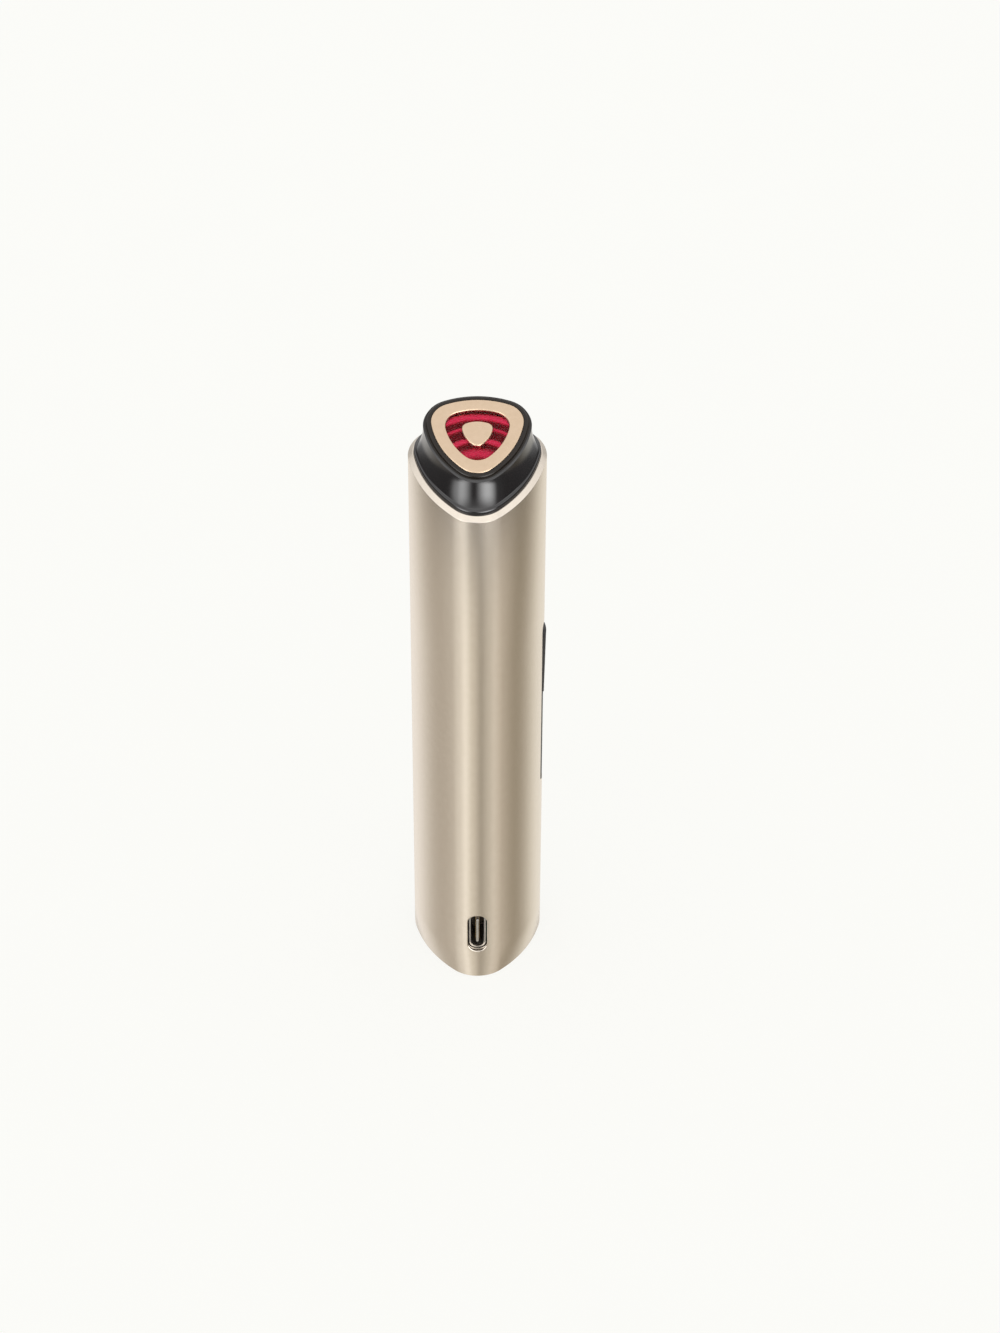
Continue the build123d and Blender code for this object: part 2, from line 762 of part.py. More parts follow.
# Key: a hollow cap that stands proudest at its upper end, lipped behind the panel
with BuildPart() as power_button:
    with BuildSketch(Plane.XY.offset(key_centre - key_length / 2)):
        add(body_face(-key_proud_low))
    with BuildSketch(Plane.XY.offset(key_centre + key_length / 2)):
        add(body_face(-key_proud_high))
    loft()
    with BuildSketch(key_plane):
        with Locations((0, key_centre)):
            RectangleRounded(key_width, key_length, key_corner)
    extrude(amount=body_width, mode=Mode.INTERSECT)
    key_face = power_button.faces().sort_by(Axis((0, 0, 0), key_plane.z_dir))[-1]
    fillet(key_face.outer_wire().edges(), radius=key_edge_round)
    with BuildSketch(Plane.XY.offset(key_centre - key_length / 2)):
        add(body_face(key_back))
    extrude(amount=key_length, mode=Mode.SUBTRACT)
    add(corner_patch(key_width + 2 * key_lip, key_length + 2 * key_lip, key_corner + key_lip,
                     key_centre, key_lip_front, key_back))
    add(corner_patch(key_width - 2 * key_wall, key_length - 2 * key_wall, key_corner,
                     key_centre, key_skin, key_room_inset), mode=Mode.SUBTRACT)
    with BuildSketch(key_plane.offset(plunger_tip_distance)):
        with Locations((0, key_centre)):
            Circle(key_post_radius)
    extrude(amount=corner_reach - key_skin / 2 - plunger_tip_distance)
power_button.part.label = "power_button"
export_step(power_button.part, "parts/power_button.step")

# Key board with its switch, level lights and the rods that carry their light to the panel
with BuildPart() as key_board:
    with BuildSketch(key_plane.offset(key_board_distance)):
        with Locations((0, key_board_low)):
            Rectangle(key_board_width, key_board_high - key_board_low,
                      align=(Align.CENTER, Align.MIN))
        with Locations(*[(0, height) for height in stake_heights]):
            Circle(stake_radius + rod_gap, mode=Mode.SUBTRACT)
    extrude(amount=key_board_thickness)
key_board.part.label = "key_board"
export_step(key_board.part, "parts/key_board.step")

with BuildPart() as tact_switch:
    with BuildSketch(key_plane.offset(key_board_face)):
        with Locations((0, key_centre)):
            Rectangle(switch_width, switch_length)
    extrude(amount=switch_height)
    with BuildSketch(key_plane.offset(switch_face)):
        with Locations((0, key_centre)):
            Circle(plunger_radius + plunger_gap)
    extrude(amount=-switch_bore_depth, mode=Mode.SUBTRACT)
tact_switch.part.label = "tact_switch"
export_step(tact_switch.part, "parts/tact_switch.step")

with BuildPart() as switch_plunger:
    with BuildSketch(key_plane.offset(plunger_tip_distance)):
        with Locations((0, key_centre)):
            Circle(plunger_radius)
    extrude(amount=-plunger_length)
switch_plunger.part.label = "switch_plunger"
export_step(switch_plunger.part, "parts/switch_plunger.step")

with BuildPart() as level_leds:
    with BuildSketch(key_plane.offset(key_board_face)):
        with Locations(*[(0, guide_top_height - i * guide_pitch) for i in range(guide_count)]):
            Rectangle(level_led_size, level_led_size)
    extrude(amount=level_led_height)
level_leds.part.label = "level_leds"
export_step(level_leds.part, "parts/level_leds.step")

with BuildPart() as light_guides:
    with BuildSketch(key_plane.offset(key_board_face + level_led_height + rod_gap)):
        with Locations(*[(0, guide_top_height - i * guide_pitch) for i in range(guide_count)]):
            Circle(guide_radius)
    extrude(amount=body_width)
    with BuildSketch(Plane.XY):
        add(body_face(panel_recess))
    extrude(amount=all_height, mode=Mode.INTERSECT)
light_guides.part.label = "light_guides"
export_step(light_guides.part, "parts/light_guides.step")

with BuildPart() as key_header:
    with BuildSketch(Plane.XY.offset(header_low)):
        with BuildLine():
            Polyline(
                (header_left, board_rear),
                ((key_board_distance - board_rear * panel_sine) / panel_cosine, board_rear),
                ((key_board_distance - header_rear * panel_sine) / panel_cosine, header_rear),
                (header_left, header_rear),
                close=True,
            )
        make_face()
    extrude(amount=header_height)
key_header.part.label = "key_header"
export_step(key_header.part, "parts/key_header.step")

# Main board and its parts: power side towards -Y, controller behind
with BuildPart() as main_board:
    with Locations((-board_left, board_front, main_floor_top)):
        Box(board_left + board_right, board_thickness, board_height,
            align=(Align.MIN, Align.MIN, Align.MIN))
    for seat in standoff_seats:
        with BuildSketch(seat):
            Circle(frame_screw_radius + rod_gap)
        extrude(amount=-board_thickness, mode=Mode.SUBTRACT)
main_board.part.label = "main_board"
export_step(main_board.part, "parts/main_board.step")

with BuildPart() as controller_chip:
    with Locations((0, board_rear, chip_z)):
        Box(chip_size, chip_height, chip_size, align=(Align.CENTER, Align.MIN, Align.CENTER))
controller_chip.part.label = "controller_chip"
export_step(controller_chip.part, "parts/controller_chip.step")

winding_thickness = core_slot_width - 2 * winding_gap
winding_width = core_leg_width + 2 * (winding_thickness + winding_gap)
winding_depth = core_frame_depth + 2 * (winding_thickness + winding_gap)
core_y = board_front - winding_depth / 2
with BuildPart() as rf_transformer_core:
    with Locations((transformer_x, core_y, transformer_z)):
        Box(core_frame_size, core_frame_depth, core_frame_size)
        for side in (-1, 1):
            with Locations((side * (core_leg_width + core_slot_width) / 2, 0, 0)):
                Box(core_slot_width, core_frame_depth, core_slot_height, mode=Mode.SUBTRACT)
rf_transformer_core.part.label = "rf_transformer_core"
export_step(rf_transformer_core.part, "parts/rf_transformer_core.step")

with BuildPart() as rf_transformer_winding:
    with BuildSketch(Plane.XY.offset(transformer_z - core_slot_height / 2 + winding_gap)):
        with Locations((transformer_x, core_y)):
            RectangleRounded(winding_width, winding_depth, winding_thickness)
            Rectangle(winding_width - 2 * winding_thickness, winding_depth - 2 * winding_thickness,
                      mode=Mode.SUBTRACT)
    extrude(amount=core_slot_height - 2 * winding_gap)
rf_transformer_winding.part.label = "rf_transformer_winding"
export_step(rf_transformer_winding.part, "parts/rf_transformer_winding.step")

with BuildPart() as rf_transistors:
    with Locations(*[(transistor_x, board_front, height) for height in transistor_heights]):
        Box(transistor_width, transistor_height, transistor_length,
            align=(Align.CENTER, Align.MAX, Align.CENTER))
rf_transistors.part.label = "rf_transistors"
export_step(rf_transistors.part, "parts/rf_transistors.step")

with BuildPart() as filter_capacitors:
    with BuildSketch(Plane(origin=(0, board_front, 0), x_dir=(1, 0, 0), z_dir=(0, -1, 0))):
        with Locations(*[(capacitor_x, height) for height in capacitor_heights]):
            Circle(capacitor_radius)
    extrude(amount=capacitor_height)
filter_capacitors.part.label = "filter_capacitors"
export_step(filter_capacitors.part, "parts/filter_capacitors.step")

ribbon_turn_height = main_floor_top + connector_height
with BuildPart() as board_connector:
    with Locations((ribbon_x, board_front, ribbon_turn_height)):
        Box(connector_width, connector_depth, connector_height,
            align=(Align.CENTER, Align.MAX, Align.CENTER))
board_connector.part.label = "board_connector"
export_step(board_connector.part, "parts/board_connector.step")

# Flat cables: charge board to main board past the battery, and main board to light board
with BuildPart() as power_ribbon:
    with BuildSketch(Plane.YZ.offset(ribbon_x - power_ribbon_width / 2)):
        with BuildLine():
            FilletPolyline(
                (power_ribbon_y, charge_connector_top),
                (power_ribbon_y, ribbon_turn_height),
                (board_front - connector_depth, ribbon_turn_height),
                radius=power_ribbon_bend,
            )
        trace(line_width=ribbon_thickness)
    extrude(amount=power_ribbon_width)
power_ribbon.part.label = "power_ribbon"
export_step(power_ribbon.part, "parts/power_ribbon.step")

with BuildPart() as head_ribbon:
    with BuildSketch(Plane.XY.offset(board_top)):
        with Locations((0, (board_front + board_rear) / 2)):
            Rectangle(head_ribbon_width, ribbon_thickness)
    extrude(amount=body_width)
    split(bisect_by=head_plane.offset(-board_back_depth), keep=Keep.BOTTOM)
head_ribbon.part.label = "head_ribbon"
export_step(head_ribbon.part, "parts/head_ribbon.step")

# Collar: plug inside the tube, a low lip above the mouth and a concave flare up to the rim
lip_plane = mouth_plane.offset(collar_lip_height)
flare_plane = lip_plane.offset(-collar_flare_sink)
neck_plane = tilted_plane(head_height - rim_back_depth / cos(radians(head_tilt)), head_tilt)
mouth_stretch = 1 / cos(radians(mouth_tilt))


def collar_ring(step):
    """Outline and plane of the flare, step 0 just inside the lip and step 1 under the rim."""
    flare = (1 - step) ** collar_flare_power
    neck = (
        electrode_width + 2 * (rim_growth + collar_neck_step),
        electrode_corner + rim_growth + collar_neck_step,
        electrode_side + rim_growth + collar_neck_step,
    )
    foot_inset = base_inset + collar_lip_round + collar_lip_land
    foot = (
        body_width - 2 * foot_inset,
        body_corner_radius - foot_inset,
        body_side_distance - foot_inset,
    )
    outline = triangle_face(*[n + (f - n) * flare for n, f in zip(neck, foot)])
    stretch = 1 + (mouth_stretch - 1) * (1 - step)
    tilt = mouth_tilt + (head_tilt - mouth_tilt) * step
    centre = flare_plane.origin * (1 - step) + neck_plane.origin * step
    plane = Plane(
        origin=centre, x_dir=(1, 0, 0), z_dir=(0, -sin(radians(tilt)), cos(radians(tilt)))
    )
    return scale(outline, by=(1, stretch, 1), mode=Mode.PRIVATE), plane


head_axis = Axis(head_plane.origin, head_plane.z_dir)
mouth_axis = Axis(mouth_plane.origin, mouth_plane.z_dir)
with BuildPart() as head_collar:
    with BuildSketch(Plane.XY.offset(collar_bottom)):
        add(body_face(base_inset))
    extrude(amount=body_width)
    split(bisect_by=lip_plane, keep=Keep.BOTTOM)
    lip_face = head_collar.faces().sort_by(mouth_axis)[-1]
    fillet(lip_face.outer_wire().edges(), radius=collar_lip_round)
    for step in collar_ring_steps:
        outline, plane = collar_ring(step)
        with BuildSketch(plane):
            add(outline)
    loft()
    neck_face = head_collar.faces().sort_by(head_axis)[-1]
    chamfer(neck_face.outer_wire().edges(), length=collar_neck_chamfer)
    with BuildSketch(Plane.XY.offset(collar_bottom)):
        add(body_face(base_inset + collar_wall))
    extrude(amount=collar_cavity_height - collar_bottom, mode=Mode.SUBTRACT)
    with BuildSketch(Plane.XY.offset(collar_cavity_height)):
        add(body_face(base_inset + collar_wall))
    with BuildSketch(head_plane.offset(-ledge_back_depth)):
        add(head_face(ledge_growth))
    loft(mode=Mode.SUBTRACT)
    with BuildSketch(head_plane.offset(-ledge_back_depth)):
        add(head_face(ledge_growth))
    extrude(amount=ledge_thickness, mode=Mode.SUBTRACT)
    with BuildSketch(head_plane.offset(-board_depth)):
        add(head_face(slide_gap))
    extrude(amount=board_depth, mode=Mode.SUBTRACT)
    add(seal_groove(head_seal_level), mode=Mode.SUBTRACT)
    for seat in roof_seats:
        boss_foot = collar_bottom - roof_height
        with BuildSketch(seat.offset(-boss_foot)):
            Circle(collar_boss_radius)
        extrude(amount=-collar_boss_height)
        with BuildSketch(seat):
            Circle(frame_screw_radius + rod_gap)
        extrude(amount=-(frame_screw_length + rod_gap), mode=Mode.SUBTRACT)
head_collar.part.label = "head_collar"
export_step(head_collar.part, "parts/head_collar.step")

with BuildPart() as head_seal:
    add(seal_ring(head_seal_level))
head_seal.part.label = "head_seal"
export_step(head_seal.part, "parts/head_seal.step")

# Head face: black rim, outer electrode, red window and centre electrode
with BuildPart() as head_rim:
    with BuildSketch(head_plane.offset(-rim_back_depth)):
        add(head_face(rim_growth))
        add(head_face(slide_gap), mode=Mode.SUBTRACT)
    extrude(amount=rim_height)
    rim_face = head_rim.faces().sort_by(head_axis)[-1]
    fillet(rim_face.outer_wire().edges(), radius=rim_edge_round)
head_rim.part.label = "head_rim"
export_step(head_rim.part, "parts/head_rim.step")

with BuildPart() as outer_electrode:
    with BuildSketch(head_plane.offset(-electrode_thickness)):
        add(head_face(0))
        add(window_face(window_gap), mode=Mode.SUBTRACT)
    extrude(amount=electrode_thickness)
    electrode_face = outer_electrode.faces().sort_by(head_axis)[-1]
    fillet(electrode_face.edges(), radius=electrode_edge_round)
outer_electrode.part.label = "outer_electrode"
export_step(outer_electrode.part, "parts/outer_electrode.step")

with BuildPart() as light_window:
    with BuildSketch(head_plane.offset(-window_back_depth)):
        add(window_face(0))
    extrude(amount=window_back_depth - window_drop)
    with BuildSketch(head_plane.offset(-window_back_depth)):
        add(window_face(window_flange_growth))
    extrude(amount=window_flange_thickness)
    with BuildSketch(head_plane.offset(-core_back_depth)):
        add(core_face(window_gap))
    extrude(amount=core_back_depth, mode=Mode.SUBTRACT)
    with BuildSketch(head_plane.offset(-window_back_depth)):
        Circle(core_stem_radius + rod_gap)
    extrude(amount=window_back_depth, mode=Mode.SUBTRACT)
    with BuildSketch(head_plane.offset(-window_back_depth)):
        with GridLocations(0, window_rib_pitch, 1, window_rib_count):
            Rectangle(window_width, window_rib_width)
        add(carrier_opening_face, mode=Mode.INTERSECT)
    extrude(amount=window_rib_depth, mode=Mode.SUBTRACT)
light_window.part.label = "light_window"
export_step(light_window.part, "parts/light_window.step")

with BuildPart() as centre_electrode:
    with BuildSketch(head_plane.offset(-core_back_depth)):
        add(core_face(0))
    extrude(amount=core_thickness)
    core_top = centre_electrode.faces().sort_by(head_axis)[-1]
    fillet(core_top.edges(), radius=electrode_edge_round)
    with BuildSketch(head_plane.offset(-core_back_depth)):
        Circle(core_stem_radius)
    extrude(amount=-core_stem_length)
centre_electrode.part.label = "centre_electrode"
export_step(centre_electrode.part, "parts/centre_electrode.step")

# Carrier with its light opening, flange seat, contact bore, sensor pocket and screw bores
head_screw_seat = head_plane.offset(-board_back_depth)
head_screw_points = [
    Vector(head_screw_distance, 0).rotate(Axis.Z, corner) for corner in corner_angles[1:]
]
with BuildPart() as electrode_carrier:
    with BuildSketch(head_plane.offset(-board_depth)):
        add(head_face(0))
        add(carrier_opening_face, mode=Mode.SUBTRACT)
        with Locations((0, -contact_distance)):
            Circle(contact_barrel_radius + rod_gap, mode=Mode.SUBTRACT)
        with Locations((0, sensor_distance)):
            Rectangle(sensor_length + 2 * rod_gap, sensor_width + 2 * rod_gap, mode=Mode.SUBTRACT)
    extrude(amount=carrier_thickness)
    with BuildSketch(head_plane.offset(-window_back_depth)):
        add(window_face(window_flange_growth + window_gap))
    extrude(amount=window_flange_thickness, mode=Mode.SUBTRACT)
    with BuildSketch(head_screw_seat):
        with Locations(*head_screw_points):
            Circle(head_screw_radius + rod_gap)
    extrude(amount=head_screw_length + rod_gap, mode=Mode.SUBTRACT)
electrode_carrier.part.label = "electrode_carrier"
export_step(electrode_carrier.part, "parts/electrode_carrier.step")

with BuildPart() as temperature_sensor:
    with BuildSketch(head_plane.offset(-carrier_depth)):
        with Locations((0, sensor_distance)):
            Rectangle(sensor_length, sensor_width)
    extrude(amount=-sensor_height)
temperature_sensor.part.label = "temperature_sensor"
export_step(temperature_sensor.part, "parts/temperature_sensor.step")

with BuildPart() as led_board:
    with BuildSketch(head_plane.offset(-board_back_depth)):
        add(head_face(led_board_growth))
        with Locations(*head_screw_points):
            Circle(head_screw_radius + rod_gap, mode=Mode.SUBTRACT)
    extrude(amount=led_board_thickness)
led_board.part.label = "led_board"
export_step(led_board.part, "parts/led_board.step")

with BuildPart() as red_leds:
    with BuildSketch(head_plane.offset(-board_depth)):
        with PolarLocations(led_circle_radius, led_count):
            Rectangle(led_width, led_length)
    extrude(amount=led_height)
red_leds.part.label = "red_leds"
export_step(red_leds.part, "parts/red_leds.step")


def contact_pin(point, barrel_length, tip_depth):
    """Sprung contact: a barrel on the light board and a thinner tip that meets its electrode."""
    with BuildPart() as pin:
        with BuildSketch(head_plane.offset(-board_depth)):
            with Locations(point):
                Circle(contact_barrel_radius)
        extrude(amount=barrel_length)
        with BuildSketch(head_plane.offset(-board_depth)):
            with Locations(point):
                Circle(contact_radius)
        extrude(amount=board_depth - tip_depth)
    return pin.part


with BuildPart() as outer_contact:
    add(contact_pin((0, -contact_distance), outer_barrel_length, electrode_thickness))
outer_contact.part.label = "outer_contact"
export_step(outer_contact.part, "parts/outer_contact.step")

with BuildPart() as centre_contact:
    add(contact_pin((0, 0), centre_barrel_length, core_back_depth + core_stem_length))
centre_contact.part.label = "centre_contact"
export_step(centre_contact.part, "parts/centre_contact.step")

with BuildPart() as head_screws:
    for point in head_screw_points:
        seat_point = head_screw_seat.from_local_coords(point)
        seat = Plane(origin=seat_point, x_dir=(1, 0, 0), z_dir=-head_plane.z_dir)
        add(screw(seat, head_screw_radius, head_screw_length,
                  head_screw_head_radius, head_screw_head_height))
head_screws.part.label = "head_screws"
export_step(head_screws.part, "parts/head_screws.step")
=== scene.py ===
# %% [markdown]
# # A slim facial wand, dressed for its picture
# The wand stands upright: a satin champagne tube of rounded-triangle section, a glossy black collar,
# and a slanted head with two champagne electrodes and a red window between them. The measured model
# is loaded first. Everything that follows is built in metres round it, in the same frame.

# %% Load the measured model
import json
import math

import bmesh
import bpy
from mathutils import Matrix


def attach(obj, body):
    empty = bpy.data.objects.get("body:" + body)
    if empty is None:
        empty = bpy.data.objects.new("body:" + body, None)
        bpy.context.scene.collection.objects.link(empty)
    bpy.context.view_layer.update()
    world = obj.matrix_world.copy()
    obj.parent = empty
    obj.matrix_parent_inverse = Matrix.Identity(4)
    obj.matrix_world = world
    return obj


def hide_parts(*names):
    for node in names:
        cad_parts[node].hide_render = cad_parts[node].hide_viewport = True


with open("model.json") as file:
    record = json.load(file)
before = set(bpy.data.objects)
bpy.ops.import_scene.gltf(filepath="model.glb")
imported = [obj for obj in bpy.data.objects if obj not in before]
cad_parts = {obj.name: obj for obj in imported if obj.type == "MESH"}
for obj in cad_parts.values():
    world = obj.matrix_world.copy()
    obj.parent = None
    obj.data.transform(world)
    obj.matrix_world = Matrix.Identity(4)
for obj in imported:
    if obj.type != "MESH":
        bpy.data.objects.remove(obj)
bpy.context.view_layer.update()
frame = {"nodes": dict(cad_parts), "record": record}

# %% [markdown]
# ## Sizes
# The wand has one shape language: the same rounded triangle, in several sizes, gives the tube, the
# collar and every outline of the head. Three numbers describe such a triangle: its width, the radius
# of its corners, and the distance from its middle to a side. The sides bulge a little, as arcs of a
# large circle that meet the corners without a kink.

# %% Sizes of the wand
MM = 0.001
SIDE_TURN = math.radians(60)                   # from a corner's direction to the next side's
BODY = (25.0 * MM, 6.8 * MM, 11.0 * MM)        # width, corner radius, side distance
HEAD = (16.6 * MM, 4.1 * MM, 7.3 * MM)
WINDOW = (11.3 * MM, 3.06 * MM, 4.96 * MM)
CORE = (5.5 * MM, 1.23 * MM, 2.42 * MM)
HEAD_HEIGHT, HEAD_TILT = 119.7 * MM, math.radians(19.0)
MOUTH_HEIGHT, MOUTH_TILT = 112.6 * MM, math.radians(10.6)
print("tube width, mm:", BODY[0] / MM)

# %% [markdown]
# ## Camera
# The picture was taken from above, looking down 38 degrees. A long lens keeps the tube's two edges
# nearly parallel. The wand stands a little left of the middle, which a small shift of the lens gives
# without turning the camera.

# %% Camera
CAMERA_PLACE = (0.0, -0.4815, 0.4431)
LOOKING_DOWN = 38.0
LENS_LENGTH, SENSOR_WIDTH, LENS_SHIFT = 88.07, 36.0, 0.01695
NEAREST, FARTHEST = 0.01, 50.0
camera_data = bpy.data.cameras.new("camera")
camera_data.sensor_width = SENSOR_WIDTH
camera_data.lens = LENS_LENGTH
camera_data.shift_x = LENS_SHIFT
camera_data.clip_start, camera_data.clip_end = NEAREST, FARTHEST
camera = bpy.data.objects.new("camera", camera_data)
camera.location = CAMERA_PLACE
camera.rotation_euler = (math.radians(90.0 - LOOKING_DOWN), 0.0, 0.0)
bpy.context.scene.collection.objects.link(camera)
bpy.context.scene.camera = camera
bpy.context.scene.view_settings.view_transform = "Standard"
print("camera height, mm:", round(1000 * camera.location.z, 1))

# %% [markdown]
# ## Arithmetic with sockets
# Shapes and lights below follow formulas, and a formula drawn node by node is hard to read. A small
# class fixes that. It stands for a socket that gives a number, and writing `a * b + 1` with it adds
# the Math nodes. The same class serves geometry, materials and the sky.


# %% Numbers and nodes
def feed(tree, value, socket):
    """Gives a socket its value: another socket, a Number or a plain value."""
    if isinstance(value, Number):
        tree.links.new(value.socket, socket)
    elif isinstance(value, bpy.types.NodeSocket):
        tree.links.new(value, socket)
    else:
        socket.default_value = value


class Number:
    """A socket that gives a number. Each sign or method adds one Math node."""

    def __init__(self, tree, socket):
        self.tree, self.socket = tree, socket

    def math(self, operation, *others):
        node = self.tree.nodes.new("ShaderNodeMath")
        node.operation = operation
        for socket, value in zip(node.inputs, (self, *others)):
            feed(self.tree, value, socket)
        return Number(self.tree, node.outputs[0])

    def __add__(self, other):
        return self.math("ADD", other)

    def __sub__(self, other):
        return self.math("SUBTRACT", other)

    def __mul__(self, other):
        return self.math("MULTIPLY", other)

    def __truediv__(self, other):
        return self.math("DIVIDE", other)

    def towards(self, other, share):
        """Between this number and another: share 0 gives this one, 1 the other."""
        return self + (other - self) * share

    def ramp(self, low, high, smooth=True):
        """0 below low, 1 above high, and a soft or straight rise between them."""
        node = self.tree.nodes.new("ShaderNodeMapRange")
        node.interpolation_type = "SMOOTHSTEP" if smooth else "LINEAR"
        feed(self.tree, self, node.inputs["Value"])
        node.inputs["From Min"].default_value, node.inputs["From Max"].default_value = low, high
        return Number(self.tree, node.outputs["Result"])

    def hump(self, centre, half_width):
        """1 at the centre, falling in a round curve to 0 at half_width from it."""
        offset = (self - centre) / half_width
        return (offset * offset * -1.0 + 1.0).math("MAXIMUM", 0.0)


def add_node(tree, kind, **values):
    """Adds a node and sets its properties and inputs by name: Noise_Scale for the input Noise Scale."""
    node = tree.nodes.new(kind)
    for name, value in values.items():
        if hasattr(node, name):
            setattr(node, name, value)
        else:
            feed(tree, value, node.inputs[name.replace("_", " ")])
    return node


def parts_of(tree, vector):
    """The three numbers of a vector socket."""
    split = add_node(tree, "ShaderNodeSeparateXYZ", Vector=vector)
    return [Number(tree, socket) for socket in split.outputs]


print("arithmetic with sockets is ready")

# %% [markdown]
# ## Finishes
# Every finish is a small network of shader nodes that reads the piece's own coordinates. Its colour
# drifts a little, as real plating and moulding do, and a fine grain changes its roughness and, as a
# bump, its surface. A flat colour would be simpler, but it looks like a drawing in close views. The
# tube is bead-blasted and anodised, so its grain is about a tenth of a millimetre and its reflections
# are soft. The collar is polished black plastic. The electrodes are satin plated in a
# warmer champagne. The boards, the cell and the screws inside get the finishes of such parts,
# because a part that is opened up should still look right.


# %% One finish
DRIFT_SCALE = 0.12             # the colour drifts over about eight grains
DRIFT_SPAN = (0.35, 0.65)      # the noise values that give the dark and the light colour
BUMP_STRENGTH = 0.5


def finish_material(name, dark, light, roughness, spread, grain, depth, metallic=0.0, **constants):
    """A finish whose colour lies between dark and light. Its roughness varies by spread, with a grain
    of that size and depth in metres. Constants are the shader's own sockets."""
    material = bpy.data.materials.new(name)
    material.use_nodes = True
    tree = material.node_tree
    shader = tree.nodes["Principled BSDF"]
    place = add_node(tree, "ShaderNodeTexCoord").outputs["Object"]
    drift = add_node(tree, "ShaderNodeTexNoise", Vector=place, Scale=DRIFT_SCALE / grain, Detail=3.0)
    fine = add_node(tree, "ShaderNodeTexNoise", Vector=place, Scale=1.0 / grain, Detail=2.0)
    colour = add_node(tree, "ShaderNodeValToRGB", Fac=drift.outputs["Fac"])
    for element, position, shade in zip(colour.color_ramp.elements, DRIFT_SPAN, (dark, light)):
        element.position, element.color = position, (*shade, 1)
    gloss = add_node(tree, "ShaderNodeMapRange", Value=fine.outputs["Fac"],
                     To_Min=roughness - spread, To_Max=roughness + spread)
    bump = add_node(tree, "ShaderNodeBump", Height=fine.outputs["Fac"], Strength=BUMP_STRENGTH,
                    Distance=depth)
    feed(tree, colour.outputs["Color"], shader.inputs["Base Color"])
    feed(tree, gloss.outputs["Result"], shader.inputs["Roughness"])
    feed(tree, bump.outputs["Normal"], shader.inputs["Normal"])
    shader.inputs["Metallic"].default_value = metallic
    for socket, value in constants.items():
        shader.inputs[socket.replace("_", " ")].default_value = value
    return material


print("a finish's colour drifts over", round(1 / DRIFT_SCALE), "grains")

